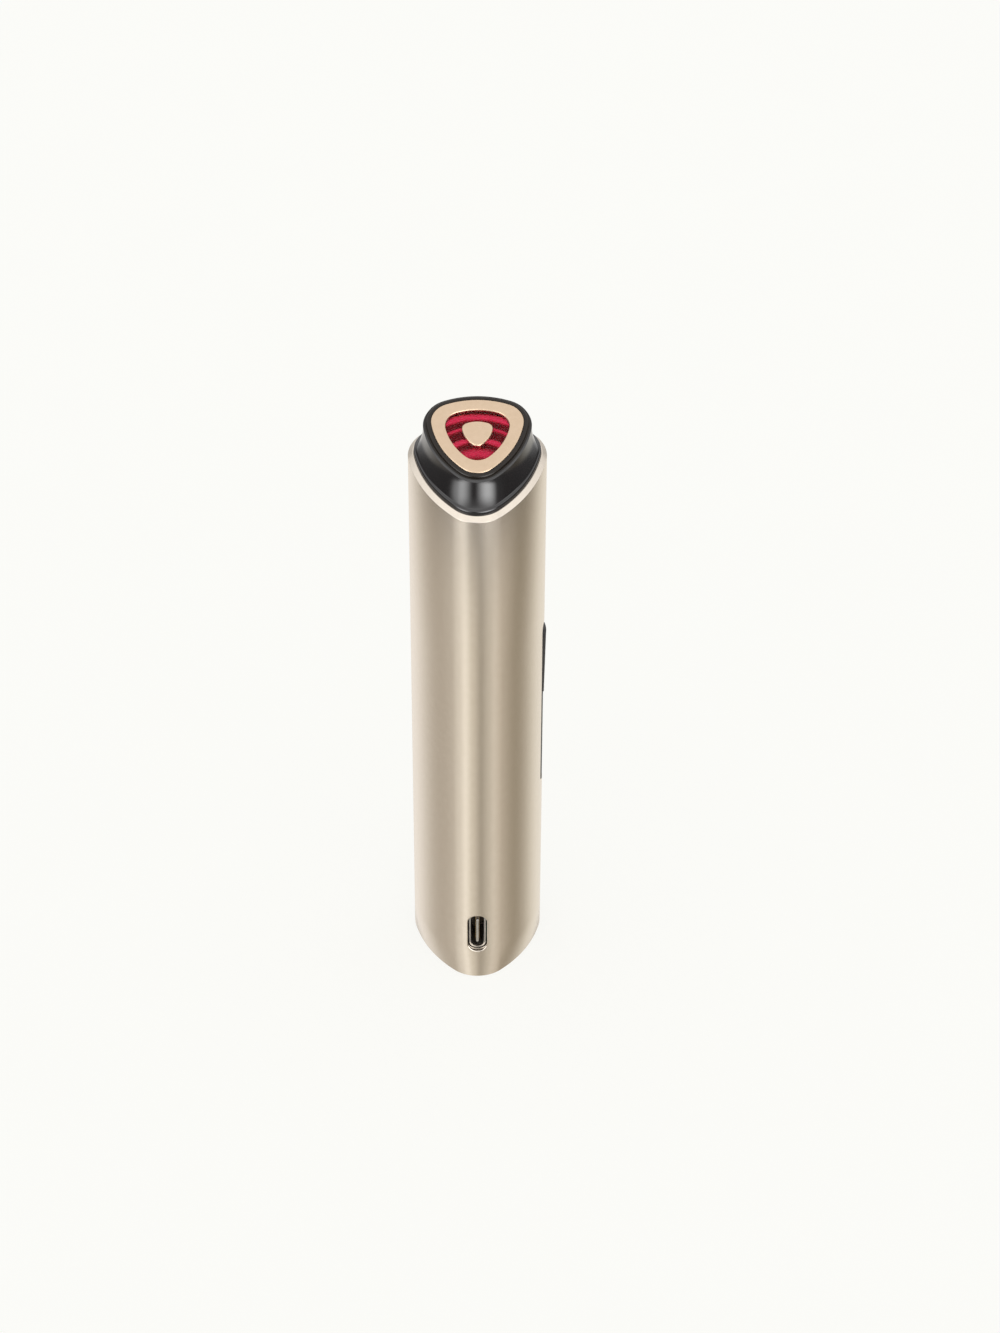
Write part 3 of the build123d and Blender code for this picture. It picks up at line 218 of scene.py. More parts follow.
# %% Finishes, one for each slot of the record
# The numbers of each line are dark, light, roughness, its spread, the grain's size and its depth.
finishes = {
    "body_metal": finish_material("champagne_anodised", (0.760, 0.680, 0.585), (0.780, 0.700, 0.605),
                                  0.23, 0.03, 0.00012, 0.000004, metallic=1.0),
    "collar_black": finish_material("polished_black", (0.0058, 0.0040, 0.0042), (0.0074, 0.0052, 0.0054),
                                    0.12, 0.03, 0.0004, 0.000001, Specular_IOR_Level=1.0),
    "electrode_metal": finish_material("champagne_gold_plate", (0.74, 0.565, 0.40), (0.77, 0.59, 0.425),
                                       0.40, 0.04, 0.0001, 0.000003, metallic=1.0),
    "window_red": finish_material("red_window", (0.30, 0.004, 0.016), (0.36, 0.005, 0.022),
                                  0.05, 0.02, 0.0006, 0.000001),
    "panel_dark": finish_material("panel_gloss", (0.012, 0.011, 0.012), (0.016, 0.015, 0.016),
                                  0.42, 0.04, 0.0003, 0.000001, Specular_IOR_Level=0.1),
    "key_dark": finish_material("key_satin", (0.020, 0.018, 0.019), (0.026, 0.024, 0.025),
                                0.38, 0.05, 0.00015, 0.000004),
    "seal_rubber": finish_material("seal_rubber", (0.012, 0.012, 0.013), (0.018, 0.018, 0.019),
                                   0.75, 0.05, 0.0003, 0.00001),
    "base_plastic": finish_material("base_fine_texture", (0.022, 0.021, 0.020), (0.030, 0.028, 0.027),
                                    0.55, 0.06, 0.00025, 0.00002),
    "frame_plastic": finish_material("moulded_white", (0.60, 0.60, 0.57), (0.66, 0.66, 0.63),
                                     0.45, 0.05, 0.0004, 0.00001),
    "bright_steel": finish_material("nickel_plate", (0.60, 0.58, 0.55), (0.66, 0.64, 0.61),
                                    0.26, 0.05, 0.0002, 0.000004, metallic=1.0),
    "board_laminate": finish_material("solder_mask", (0.004, 0.06, 0.022), (0.006, 0.085, 0.032),
                                      0.30, 0.06, 0.0005, 0.00001),
    "chip_black": finish_material("chip_moulding", (0.012, 0.012, 0.012), (0.018, 0.018, 0.018),
                                  0.55, 0.06, 0.0002, 0.00001),
    "connector_white": finish_material("ivory_moulding", (0.62, 0.58, 0.46), (0.68, 0.64, 0.52),
                                       0.45, 0.05, 0.0003, 0.00001),
    "lamp_clear": finish_material("clear_moulding", (0.70, 0.68, 0.62), (0.78, 0.76, 0.70),
                                  0.15, 0.04, 0.0003, 0.000004),
    "lamp_red": finish_material("red_lamp", (0.42, 0.02, 0.015), (0.50, 0.03, 0.02),
                                0.20, 0.05, 0.0003, 0.000004),
    "cell_wrap": finish_material("cell_film", (0.012, 0.07, 0.20), (0.018, 0.09, 0.24),
                                 0.30, 0.06, 0.0006, 0.00001),
    "pad_foam": finish_material("foam", (0.010, 0.010, 0.010), (0.020, 0.020, 0.020),
                                0.9, 0.05, 0.0003, 0.00005),
    "ferrite": finish_material("ground_ferrite", (0.020, 0.020, 0.022), (0.032, 0.032, 0.034),
                               0.6, 0.08, 0.0002, 0.00001),
    "winding_copper": finish_material("enamelled_wire", (0.48, 0.14, 0.05), (0.56, 0.18, 0.07),
                                      0.30, 0.06, 0.0002, 0.00001, metallic=1.0),
    "capacitor_can": finish_material("drawn_can", (0.50, 0.50, 0.51), (0.57, 0.57, 0.58),
                                     0.35, 0.05, 0.0003, 0.000006, metallic=1.0),
    "ribbon_film": finish_material("amber_film", (0.42, 0.16, 0.015), (0.50, 0.21, 0.025),
                                   0.28, 0.05, 0.0004, 0.000006),
    "contact_gold": finish_material("gold_plate", (0.80, 0.52, 0.16), (0.85, 0.58, 0.20),
                                    0.25, 0.05, 0.0002, 0.000004, metallic=1.0),
}
print(len(finishes), "finishes")

# %% [markdown]
# ## Measured pieces
# Most measured pieces keep their shape. Their meshes are loose triangles, so a Weld and an Edge Split
# modifier join them and keep their real edges crisp, and each gets the finish of its slot. Two of them
# are seen close up in the charging inlet and get a finish of their own: its drawn steel shell is duller
# than the plated screws, and its tongue is moulded in a warmer black than the chips.

# %% Finish on every measured piece
slot_of = {part["node"]: part["material_slot"] for part in frame["record"]["subparts"]}
WELD_DISTANCE, CRISP_ANGLE = 0.001 * MM, math.radians(25)
for node, piece in frame["nodes"].items():
    piece.modifiers.new("weld", "WELD").merge_threshold = WELD_DISTANCE
    piece.data.polygons.foreach_set("use_smooth", [True] * len(piece.data.polygons))
    piece.modifiers.new("edges", "EDGE_SPLIT").split_angle = CRISP_ANGLE
    piece.data.materials.clear()
    piece.data.materials.append(finishes[slot_of[node]])
shell_material = finish_material("shell_steel", (0.42, 0.40, 0.37), (0.48, 0.46, 0.43),
                                 0.42, 0.05, 0.0002, 0.000004, metallic=1.0)
tongue_material = finish_material("tongue_moulding", (0.115, 0.090, 0.066), (0.135, 0.105, 0.078),
                                  0.50, 0.05, 0.0002, 0.00001)
frame["nodes"]["usb_shell"].data.materials[0] = shell_material
frame["nodes"]["usb_tongue"].data.materials[0] = tongue_material
print(len(frame["nodes"]), "measured pieces finished")

# %% [markdown]
# ## The rule of the rounded triangle
# The tube, the collar, the rim, the outer electrode and the window are skins over rings, and every
# ring is the same rounded triangle at another size, height and slant. They could be lofted point by
# point, but it is a rule, so Geometry Nodes draw it. A flat grid goes in: its columns run round the
# wand and its rows are the rings. One formula turns a column into a place on the triangle, which is
# six arcs in turn: corner, side, corner, side, corner, side.

# %% A point of a rounded triangle, as nodes
OUTLINE_LABELS = ("Width", "Corner radius", "Side distance")


def triangle_point(turn, outline, growth=0.0):
    """x and y at a share of the way round a rounded triangle, moved outwards by growth."""
    width, corner, side = outline
    piece = (turn * 6.0).math("FLOOR")
    along = (turn * 6.0).math("FRACT") * 2.0 - 1.0
    on_side = piece.math("MODULO", 2.0)
    across = width / 2.0 - corner
    corner_distance = across / math.sin(SIDE_TURN)
    ahead = corner_distance / 2.0 - side
    side_radius = (corner * corner - ahead * ahead - across * across) / ((corner + ahead) * 2.0)
    side_centre = side_radius - side
    side_half = across.math("ARCTAN2", corner_distance / 2.0 + side_centre)
    half = (side_half * -1.0 + SIDE_TURN).towards(side_half, on_side)
    axis = piece * SIDE_TURN - math.pi / 2
    angle = axis + along * half
    centre = corner_distance.towards(side_centre * -1.0, on_side)
    radius = corner.towards(side_radius, on_side) + growth
    return [axis.math(way) * centre + angle.math(way) * radius for way in ("COSINE", "SINE")]


print("side's turn from its corner, degrees:", round(math.degrees(SIDE_TURN)))

# %% A new tree with its named inputs
MERGE_DISTANCE = 0.002 * MM
SHARP_ANGLE = 28.0


def new_tree(name, sizes):
    """A geometry tree with one named input for each size. Gives the tree and the inputs' Numbers."""
    tree = bpy.data.node_groups.new(name, "GeometryNodeTree")
    tree.interface.new_socket("Geometry", in_out="OUTPUT", socket_type="NodeSocketGeometry")
    for label, value in sizes.items():
        kind = "NodeSocketInt" if isinstance(value, int) else "NodeSocketFloat"
        tree.interface.new_socket(label, in_out="INPUT", socket_type=kind)
    inputs = tree.nodes.new("NodeGroupInput")
    return tree, {label: Number(tree, inputs.outputs[label]) for label in sizes}


def close_tree(tree, geometry, material):
    """Ends a tree: real geometry in place of instances, then its material."""
    real = add_node(tree, "GeometryNodeRealizeInstances", Geometry=geometry)
    dressed = add_node(tree, "GeometryNodeSetMaterial", Geometry=real.outputs[0], Material=material)
    feed(tree, dressed.outputs[0], tree.nodes.new("NodeGroupOutput").inputs["Geometry"])


def grow(name, tree, sizes, sharp=SHARP_ANGLE, cutters=()):
    """Runs a tree with its sizes, cuts the result and gives it as a plain mesh object."""
    source = bpy.data.objects.new(name, bpy.data.meshes.new(name))
    bpy.context.scene.collection.objects.link(source)
    modifier = source.modifiers.new("grow", "NODES")
    modifier.node_group = tree
    for item in tree.interface.items_tree:
        if item.in_out == "INPUT":
            modifier[item.identifier] = sizes[item.name]
    for cutter in cutters:
        cut = source.modifiers.new("cut", "BOOLEAN")
        cut.object, cut.operation, cut.solver = cutter, "DIFFERENCE", "EXACT"
    evaluated = source.evaluated_get(bpy.context.evaluated_depsgraph_get())
    mesh = bpy.data.meshes.new_from_object(evaluated)
    source.modifiers.clear()
    source.data = mesh
    finish = mesh.materials[-1]
    mesh.materials.clear()
    mesh.materials.append(finish)
    mesh.polygons.foreach_set("material_index", [0] * len(mesh.polygons))
    mesh.name = name
    for cutter in cutters:
        bpy.data.objects.remove(cutter)
    mesh.polygons.foreach_set("use_smooth", [True] * len(mesh.polygons))
    mesh.set_sharp_from_angle(angle=math.radians(sharp))
    print(name, "faces:", len(mesh.polygons))
    return source


print("edges sharper than", SHARP_ANGLE, "degrees stay crisp")

# %% A skin over rings
RING_COLUMNS = ("share", "growth", "centre_y", "centre_z", "squash", "climb")


def ring_tree(name, rings, material, sizes):
    """A closed skin over rings. Each ring is a row of RING_COLUMNS: which outline it follows (0 the
    outer one, 1 the inner one), how far it is moved outwards, its centre, and how much of its y it
    keeps and how much of it turns into height. Rings run up the outside and down the inside."""
    tree, size = new_tree(name, sizes)
    grid = add_node(tree, "GeometryNodeMeshGrid", Size_X=1.0, Size_Y=float(len(rings) - 1),
                    Vertices_X=size["Points round"] + 1.0, Vertices_Y=len(rings))
    place_x, place_y, _ = parts_of(tree, tree.nodes.new("GeometryNodeInputPosition").outputs[0])
    row = add_node(tree, "FunctionNodeFloatToInt", Float=place_y + (len(rings) - 1) / 2).outputs[0]
    column = {}
    for label, values in zip(RING_COLUMNS, zip(*rings)):
        table = add_node(tree, "GeometryNodeIndexSwitch", data_type="FLOAT")
        for _ in range(len(rings) - 2):
            table.index_switch_items.new()
        feed(tree, row, table.inputs["Index"])
        for index, value in enumerate(values):
            table.inputs[index + 1].default_value = value
        column[label] = Number(tree, table.outputs[0])
    outline = [size[label].towards(size["Bore " + label.lower()], column["share"])
               for label in OUTLINE_LABELS]
    x, y = triangle_point(place_x + 0.5, outline, column["growth"])
    place = add_node(tree, "ShaderNodeCombineXYZ", X=x, Y=column["centre_y"] + y * column["squash"],
                     Z=column["centre_z"] + y * column["climb"])
    moved = add_node(tree, "GeometryNodeSetPosition", Geometry=grid.outputs["Mesh"],
                     Position=place.outputs[0])
    merged = add_node(tree, "GeometryNodeMergeByDistance", Geometry=moved.outputs[0],
                      Distance=MERGE_DISTANCE)
    close_tree(tree, merged.outputs[0], material)
    return tree


def outline_sizes(outer, bore, points_round):
    """The named inputs of a ring tree."""
    sizes = dict(zip(OUTLINE_LABELS, outer))
    sizes |= {"Bore " + label.lower(): value for label, value in zip(OUTLINE_LABELS, bore)}
    return sizes | {"Points round": points_round}


def on_head(share, growth, depth):
    """A ring square to the head's face, at a depth under it."""
    return (share, growth, depth * math.sin(HEAD_TILT), HEAD_HEIGHT - depth * math.cos(HEAD_TILT),
            math.cos(HEAD_TILT), math.sin(HEAD_TILT))


print("each ring gives", ", ".join(RING_COLUMNS))

# %% [markdown]
# ## Tube
# The tube is one extrusion with three cuts: the slanted mouth with its bright bevel, the upright slot
# of the charging inlet and the window of the control panel. The mouth belongs to the rule of the
# rings, whose last rings climb towards the back. The slot and the panel's window are cut with
# Booleans. The slot's edge is rounded like the real one, so its lower lip catches the light. A ring
# just above and below each cut keeps the long faces beside it from shading in streaks.


# %% A mesh over rings of points
def loft(name, rings, closed=False):
    """A mesh over rings of points. Its two ends are filled, or joined where it is closed."""
    shape = bmesh.new()
    rows = [[shape.verts.new(point) for point in ring] for ring in rings]
    for low, high in zip(rows, rows[1:]):
        for i in range(len(low)):
            j = (i + 1) % len(low)
            shape.faces.new((low[i], low[j], high[j], high[i]))
    if closed:
        bmesh.ops.remove_doubles(shape, verts=shape.verts, dist=WELD_DISTANCE)
    else:
        shape.faces.new(list(reversed(rows[0])))
        shape.faces.new(rows[-1])
    bmesh.ops.recalc_face_normals(shape, faces=shape.faces)
    mesh = bpy.data.meshes.new(name)
    shape.to_mesh(mesh)
    shape.free()
    piece = bpy.data.objects.new(name, mesh)
    bpy.context.scene.collection.objects.link(piece)
    return piece


print("a closed loft joins points nearer than, mm:", WELD_DISTANCE / MM)

# %% Cutter for the charging slot
INLET_HEIGHT = 11.3 * MM
SLOT_LENGTH, SLOT_WIDTH, SLOT_LIP = 9.2 * MM, 3.75 * MM, 0.18 * MM
SLOT_CUT_FROM, SLOT_CUT_TO = -8.0 * MM, -20.0 * MM
CORNER_CENTRE = (BODY[0] / 2 - BODY[1]) / math.sin(SIDE_TURN)
UPPER_HALF = 1e-9              # counts the two side points to the slot's upper half


def slot_ring(growth, depth=None, y=None, points=64):
    """An upright slot outline, at a depth under the tube's front corner or at one y."""
    ring = []
    radius = SLOT_WIDTH / 2 + growth
    for i in range(points):
        angle = 2 * math.pi * i / points
        x = radius * math.cos(angle)
        end = math.copysign((SLOT_LENGTH - SLOT_WIDTH) / 2, math.sin(angle) + UPPER_HALF)
        z = INLET_HEIGHT + end + radius * math.sin(angle)
        surface = -CORNER_CENTRE - math.sqrt(BODY[1]**2 - x**2)
        ring.append((x, surface + depth if y is None else y, z))
    return ring


lip = [(SLOT_LIP * (1 - math.cos(a)), SLOT_LIP * (1 - math.sin(a)))
       for a in (math.radians(step) for step in (0, 22.5, 45, 67.5, 90))]
slot_cutter = loft("slot_cutter", [slot_ring(0.0, y=SLOT_CUT_FROM)]
                   + [slot_ring(growth, depth=depth) for growth, depth in lip]
                   + [slot_ring(SLOT_LIP, y=SLOT_CUT_TO)])
print("slot, mm:", round(SLOT_LENGTH / MM, 2), "by", round(SLOT_WIDTH / MM, 2))

# %% Cutter for the panel's window
PANEL_TURN = math.radians(30)
PANEL_CENTRE, PANEL_CORNER = 56.9 * MM, 1.26 * MM
PANEL_LENGTH, PANEL_WIDTH = 38.02 * MM, 10.52 * MM
PANEL_CUT_FROM, PANEL_CUT_TO = 7.0 * MM, 20.0 * MM


def panel_ring(distance, steps=8):
    """The window's outline, a rounded rectangle square to the key's direction, at a distance."""
    ring = []
    for quarter, (right, above) in enumerate(((1, 1), (-1, 1), (-1, -1), (1, -1))):
        for step in range(steps + 1):
            angle = math.radians(90 * quarter + 90 * step / steps)
            across = math.cos(angle) * PANEL_CORNER + (PANEL_WIDTH / 2 - PANEL_CORNER) * right
            up = math.sin(angle) * PANEL_CORNER + (PANEL_LENGTH / 2 - PANEL_CORNER) * above
            ring.append((distance * math.cos(PANEL_TURN) - across * math.sin(PANEL_TURN),
                         distance * math.sin(PANEL_TURN) + across * math.cos(PANEL_TURN),
                         PANEL_CENTRE + up))
    return ring


panel_cutter = loft("panel_cutter", [panel_ring(PANEL_CUT_FROM), panel_ring(PANEL_CUT_TO)])
print("panel's window, mm:", round(PANEL_LENGTH / MM, 2), "by", round(PANEL_WIDTH / MM, 2))

# %% Tube, grown and cut
TUBE_WALL, MOUTH_BEVEL, MOUTH_DROP = 1.0 * MM, 0.84 * MM, 0.70 * MM
EDGE_BELOW, EDGE_ABOVE, EDGE_IN = 0.06 * MM, 0.04 * MM, 0.02 * MM    # softens the bevel's lower edge
FOOT_ROUNDING = ((0.20, 0.0), (0.10, 0.04), (0.03, 0.11), (0.0, 0.20))    # mm inwards, and height
FOOT_INSET = 0.20 * MM
ROUND_CUTS = 0.5 * MM          # how far the extra rings are from a cut
BODY_POINTS = 288
mouth_climb = math.tan(MOUTH_TILT)
mouth_foot = MOUTH_HEIGHT - MOUTH_DROP
cut_rows = [centre + side * (length / 2 + ROUND_CUTS) for centre, length in (
    (INLET_HEIGHT, SLOT_LENGTH), (PANEL_CENTRE, PANEL_LENGTH)) for side in (-1, 1)]
tube_rings = [(0.0, -inset, 0.0, height, 1.0, climb) for inset, height, climb in (
    *((inset * MM, height * MM, 0.0) for inset, height in FOOT_ROUNDING),
    *((0.0, row, 0.0) for row in cut_rows),
    (0.0, mouth_foot - EDGE_BELOW, mouth_climb), (EDGE_IN, mouth_foot + EDGE_ABOVE, mouth_climb),
    (MOUTH_BEVEL, MOUTH_HEIGHT, mouth_climb), (TUBE_WALL, MOUTH_HEIGHT, mouth_climb),
    (TUBE_WALL, 0.0, 0.0), (FOOT_INSET, 0.0, 0.0))]
tube_sizes = outline_sizes(BODY, BODY, BODY_POINTS)
tube = grow("tube", ring_tree("tube", tube_rings, finishes["body_metal"], tube_sizes), tube_sizes,
            cutters=(slot_cutter, panel_cutter))
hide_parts("tube_body")
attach(tube, "housing")

# %% [markdown]
# ## Charging inlet
# The measured shell and tongue keep their shapes. On the tongue the small parts are added that make
# an inlet look real: a steel plate along its front edge, and a row of gold contacts on each face.
# The plate is lofted from three outlines, since there is only one. The contacts repeat at one pitch,
# so a tree sets them out along two lines.

# %% Plate on the tongue's edge
TONGUE_FRONT, TONGUE_HALF = -11.60 * MM, 0.35 * MM
PLATE_WIDTH, PLATE_LENGTH, PLATE_DROP = 0.52 * MM, 5.8 * MM, 0.3 * MM
PLATE_BACK, PLATE_FRONT, PLATE_EDGE = 0.40 * MM, 0.55 * MM, 0.05 * MM


def bar_ring(width, length, y, points=32):
    """An upright bar's outline with round ends."""
    turns = [2 * math.pi * (i + 0.5) / points for i in range(points)]
    return [(width / 2 * math.cos(turn), y, INLET_HEIGHT - PLATE_DROP + width / 2 * math.sin(turn)
             + math.copysign((length - width) / 2, math.sin(turn))) for turn in turns]


plate = loft("inlet_plate", [
    bar_ring(PLATE_WIDTH, PLATE_LENGTH, TONGUE_FRONT + PLATE_BACK),
    bar_ring(PLATE_WIDTH, PLATE_LENGTH, TONGUE_FRONT - PLATE_FRONT + PLATE_EDGE),
    bar_ring(PLATE_WIDTH - 2 * PLATE_EDGE, PLATE_LENGTH - 2 * PLATE_EDGE, TONGUE_FRONT - PLATE_FRONT)])
plate.data.materials.append(finishes["bright_steel"])
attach(plate, "housing")
print("plate faces:", len(plate.data.polygons))

# %% Contacts on the tongue
CONTACT_SETBACK = 0.3 * MM
contact_sizes = {"Pitch": 0.5 * MM, "Thickness": 0.08 * MM, "Length": 3.0 * MM, "Width": 0.25 * MM,
                 "Contacts": 12}
contact_tree, size = new_tree("contacts", contact_sizes)
pin_size = add_node(contact_tree, "ShaderNodeCombineXYZ", X=size["Thickness"], Y=size["Length"],
                    Z=size["Width"])
pin = add_node(contact_tree, "GeometryNodeMeshCube", Size=pin_size.outputs[0])
first = (size["Contacts"] - 1.0) * size["Pitch"] * -0.5 + INLET_HEIGHT
step = add_node(contact_tree, "ShaderNodeCombineXYZ", Z=size["Pitch"])
both = contact_tree.nodes.new("GeometryNodeJoinGeometry")
for side in (-1, 1):
    start = add_node(contact_tree, "ShaderNodeCombineXYZ", X=side * TONGUE_HALF,
                     Y=size["Length"] * 0.5 + TONGUE_FRONT + CONTACT_SETBACK, Z=first)
    line = add_node(contact_tree, "GeometryNodeMeshLine", Count=size["Contacts"],
                    Start_Location=start.outputs[0], Offset=step.outputs[0])
    row = add_node(contact_tree, "GeometryNodeInstanceOnPoints", Points=line.outputs[0],
                   Instance=pin.outputs[0])
    feed(contact_tree, row.outputs[0], both.inputs["Geometry"])
close_tree(contact_tree, both.outputs[0], finishes["contact_gold"])
contacts = grow("inlet_contacts", contact_tree, contact_sizes)
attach(contacts, "housing")

# %% [markdown]
# ## Collar
# The collar carries the head. Its plug sits in the tube with a groove for a seal, a low rounded lip
# covers the mouth, and from there a hollow curve runs up to the neck while the section shrinks and
# tips forward to the head's slant. Each step of that flare is again a rounded triangle, part way from
# the lip's to the neck's. So the same tree makes it, from a longer list of rings. Two bosses inside
# take the screws.

# %% Collar's sizes and its hollow curve
FOOT_GROWTH, NECK_GROWTH = -1.38 * MM, 1.40 * MM
FLARE_FOOT_Y, FLARE_FOOT_Z = -0.101 * MM, 113.14 * MM
FLARE_HOLLOW = 2.4                                   # higher is a hollower curve
FLARE_START, FLARE_SPAN, FLARE_CROWDING, FLARE_RINGS = 0.08, 0.89, 1.3, 28
FACE_SEAT = 0.6 * MM                                 # the neck's depth under the head's face
NECK_Z = HEAD_HEIGHT - FACE_SEAT / math.cos(HEAD_TILT)
PLUG_GROWTH, PLUG_BOTTOM, LIP_HEIGHT, LIP_ROUND = -1.06 * MM, 103.2 * MM, 113.414 * MM, 0.30 * MM
GROOVE_GROWTH, GROOVE_LOW, GROOVE_HIGH = -1.66 * MM, 104.97 * MM, 105.83 * MM
SHOULDER_OUTER, SHOULDER_INNER = 1.22 * MM, 0.06 * MM
LEDGE_GROWTH, LEDGE_DEPTH, LEDGE_FOOT = -0.90 * MM, 3.4 * MM, 4.4 * MM
HOLLOW_GROWTH, HOLLOW_TOP = -2.30 * MM, 109.0 * MM


def flare_ring(step):
    """A ring of the hollow curve, step 0 at the lip and 1 at the neck."""
    flare = (1 - step)**FLARE_HOLLOW
    stretch = 1 + (1 / math.cos(MOUTH_TILT) - 1) * (1 - step)
    tilt = MOUTH_TILT + (HEAD_TILT - MOUTH_TILT) * step
    return (1 - flare, NECK_GROWTH + (FOOT_GROWTH - NECK_GROWTH) * flare, FLARE_FOOT_Y * (1 - step),
            FLARE_FOOT_Z + (NECK_Z - FLARE_FOOT_Z) * step,
            stretch * math.cos(tilt), stretch * math.sin(tilt))


print("neck's height, mm:", round(NECK_Z / MM, 2))

# %% Collar's rings, up the outside and down the inside
plug = [(0.0, growth, 0.0, height, 1.0, 0.0) for growth, height in (
    (PLUG_GROWTH, PLUG_BOTTOM), (PLUG_GROWTH, GROOVE_LOW), (GROOVE_GROWTH, GROOVE_LOW),
    (GROOVE_GROWTH, GROOVE_HIGH), (PLUG_GROWTH, GROOVE_HIGH))]
lip_rings = [(0.0, PLUG_GROWTH - LIP_ROUND * (1 - math.cos(turn)), 0.0,
              LIP_HEIGHT - LIP_ROUND * (1 - math.sin(turn)), 1.0, mouth_climb)
             for turn in (math.radians(22.5 * step) for step in range(5))]
flare_rings = [flare_ring(FLARE_START + FLARE_SPAN * (step / FLARE_RINGS)**FLARE_CROWDING)
               for step in range(FLARE_RINGS + 1)]
shoulder = [(1.0, growth, 0.0, NECK_Z, math.cos(HEAD_TILT), math.sin(HEAD_TILT))
            for growth in (SHOULDER_OUTER, SHOULDER_INNER)]
inside = [on_head(1.0, SHOULDER_INNER, LEDGE_DEPTH), on_head(1.0, LEDGE_GROWTH, LEDGE_DEPTH),
          on_head(1.0, LEDGE_GROWTH, LEDGE_FOOT), (0.0, HOLLOW_GROWTH, 0.0, HOLLOW_TOP, 1.0, 0.0),
          (0.0, HOLLOW_GROWTH, 0.0, PLUG_BOTTOM, 1.0, 0.0)]
collar_rings = plug + lip_rings + flare_rings + shoulder + inside + plug[:1]
collar_sizes = outline_sizes(BODY, HEAD, BODY_POINTS)
collar = grow("collar", ring_tree("collar", collar_rings, finishes["collar_black"], collar_sizes),
              collar_sizes)

# %% Screw bosses inside the collar
BOSS_X, BOSS_Y, BOSS_TOP = 8.9 * MM, 3.60 * MM, 108.2 * MM
BOSS_RADIUS, BOSS_BORE = 1.6 * MM, 0.73 * MM


def bush(side, outer, bore, low, high, points=48):
    """Rings of a round bush, up its outside and down its bore."""
    return [[(side * BOSS_X + radius * math.cos(2 * math.pi * i / points),
              BOSS_Y + radius * math.sin(2 * math.pi * i / points), z) for i in range(points)]
            for radius, z in ((outer, low), (outer, high), (bore, high), (bore, low), (outer, low))]


bosses = [loft(f"collar_boss_{label}", bush(side, BOSS_RADIUS, BOSS_BORE, PLUG_BOTTOM, BOSS_TOP),
               closed=True) for side, label in ((-1, "left"), (1, "right"))]
for boss in bosses:
    boss.data.materials.append(finishes["collar_black"])
for piece in (collar, *bosses):
    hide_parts("head_collar")
    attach(piece, "housing")
print("collar pieces:", 1 + len(bosses))

# %% [markdown]
# ## Rim and outer electrode
# The black rim is a thin ring round the head's face, softly rounded outside, with a flange that covers
# the collar's shoulder. It is satin, not polished, so it has a finish of its own. The outer electrode
# inside it is plated metal with both of its edges rounded, so that it glides over skin. A rounded
# edge is a quarter of a circle of rings.


# %% Rounded edges and ring-shaped pieces of the head
EDGE_STEPS = 5
HEAD_POINTS = 240


def rounded_edge(share, growth, depth, radius, rising):
    """Rings of a rounded edge: growth and depth are those of its sharp corner."""
    turns = [math.pi / 2 * step / EDGE_STEPS for step in range(EDGE_STEPS + 1)]
    side = 1 if rising else -1
    rings = [on_head(share, growth - side * radius * (1 - math.cos(turn)),
                     depth + radius * (1 - math.sin(turn))) for turn in turns]
    return rings if rising else rings[::-1]


def head_piece(name, rings, material, node, outer=HEAD, bore=HEAD):
    """A ring-shaped piece of the head's face in place of its node."""
    sizes = outline_sizes(outer, bore, HEAD_POINTS)
    piece = grow(name, ring_tree(name, rings + rings[:1], material, sizes), sizes)
    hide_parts(node)
    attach(piece, "housing")
    return piece


print("degrees between the rings of a rounded edge:", 90 // EDGE_STEPS)

# %% Rim
RIM_GROWTH, RIM_BORE, RIM_ROUND = 0.85 * MM, 0.06 * MM, 0.35 * MM
RIM_TOP, RIM_BOTTOM = 0.1 * MM, 0.6 * MM
FLANGE_OUTER, FLANGE_BOTTOM = 1.18 * MM, 0.595 * MM
FLANGE_INNER, FLANGE_TOP = 0.87 * MM, 0.575 * MM
rim_material = finish_material("rim_black", (0.0125, 0.0078, 0.0045), (0.0150, 0.0097, 0.0058),
                               0.24, 0.04, 0.0003, 0.000001, Specular_IOR_Level=0.42)
rim_rings = [on_head(0.0, FLANGE_OUTER, FLANGE_BOTTOM), on_head(0.0, FLANGE_INNER, FLANGE_TOP)]
rim_rings += rounded_edge(0.0, RIM_GROWTH, RIM_TOP, RIM_ROUND, rising=True)
rim_rings += [on_head(0.0, RIM_BORE, RIM_TOP), on_head(0.0, RIM_BORE, RIM_BOTTOM)]
rim = head_piece("rim", rim_rings, rim_material, "head_rim")

# %% Outer electrode
ELECTRODE_THICKNESS, ELECTRODE_ROUND, ELECTRODE_GAP = 1.3 * MM, 0.25 * MM, 0.04 * MM
electrode_rings = [on_head(0.0, 0.0, ELECTRODE_THICKNESS)]
electrode_rings += rounded_edge(0.0, 0.0, 0.0, ELECTRODE_ROUND, rising=True)
electrode_rings += rounded_edge(1.0, ELECTRODE_GAP, 0.0, ELECTRODE_ROUND, rising=False)
electrode_rings += [on_head(1.0, ELECTRODE_GAP, ELECTRODE_THICKNESS)]
electrode = head_piece("outer_ring", electrode_rings, finishes["electrode_metal"], "outer_electrode",
                       bore=WINDOW)
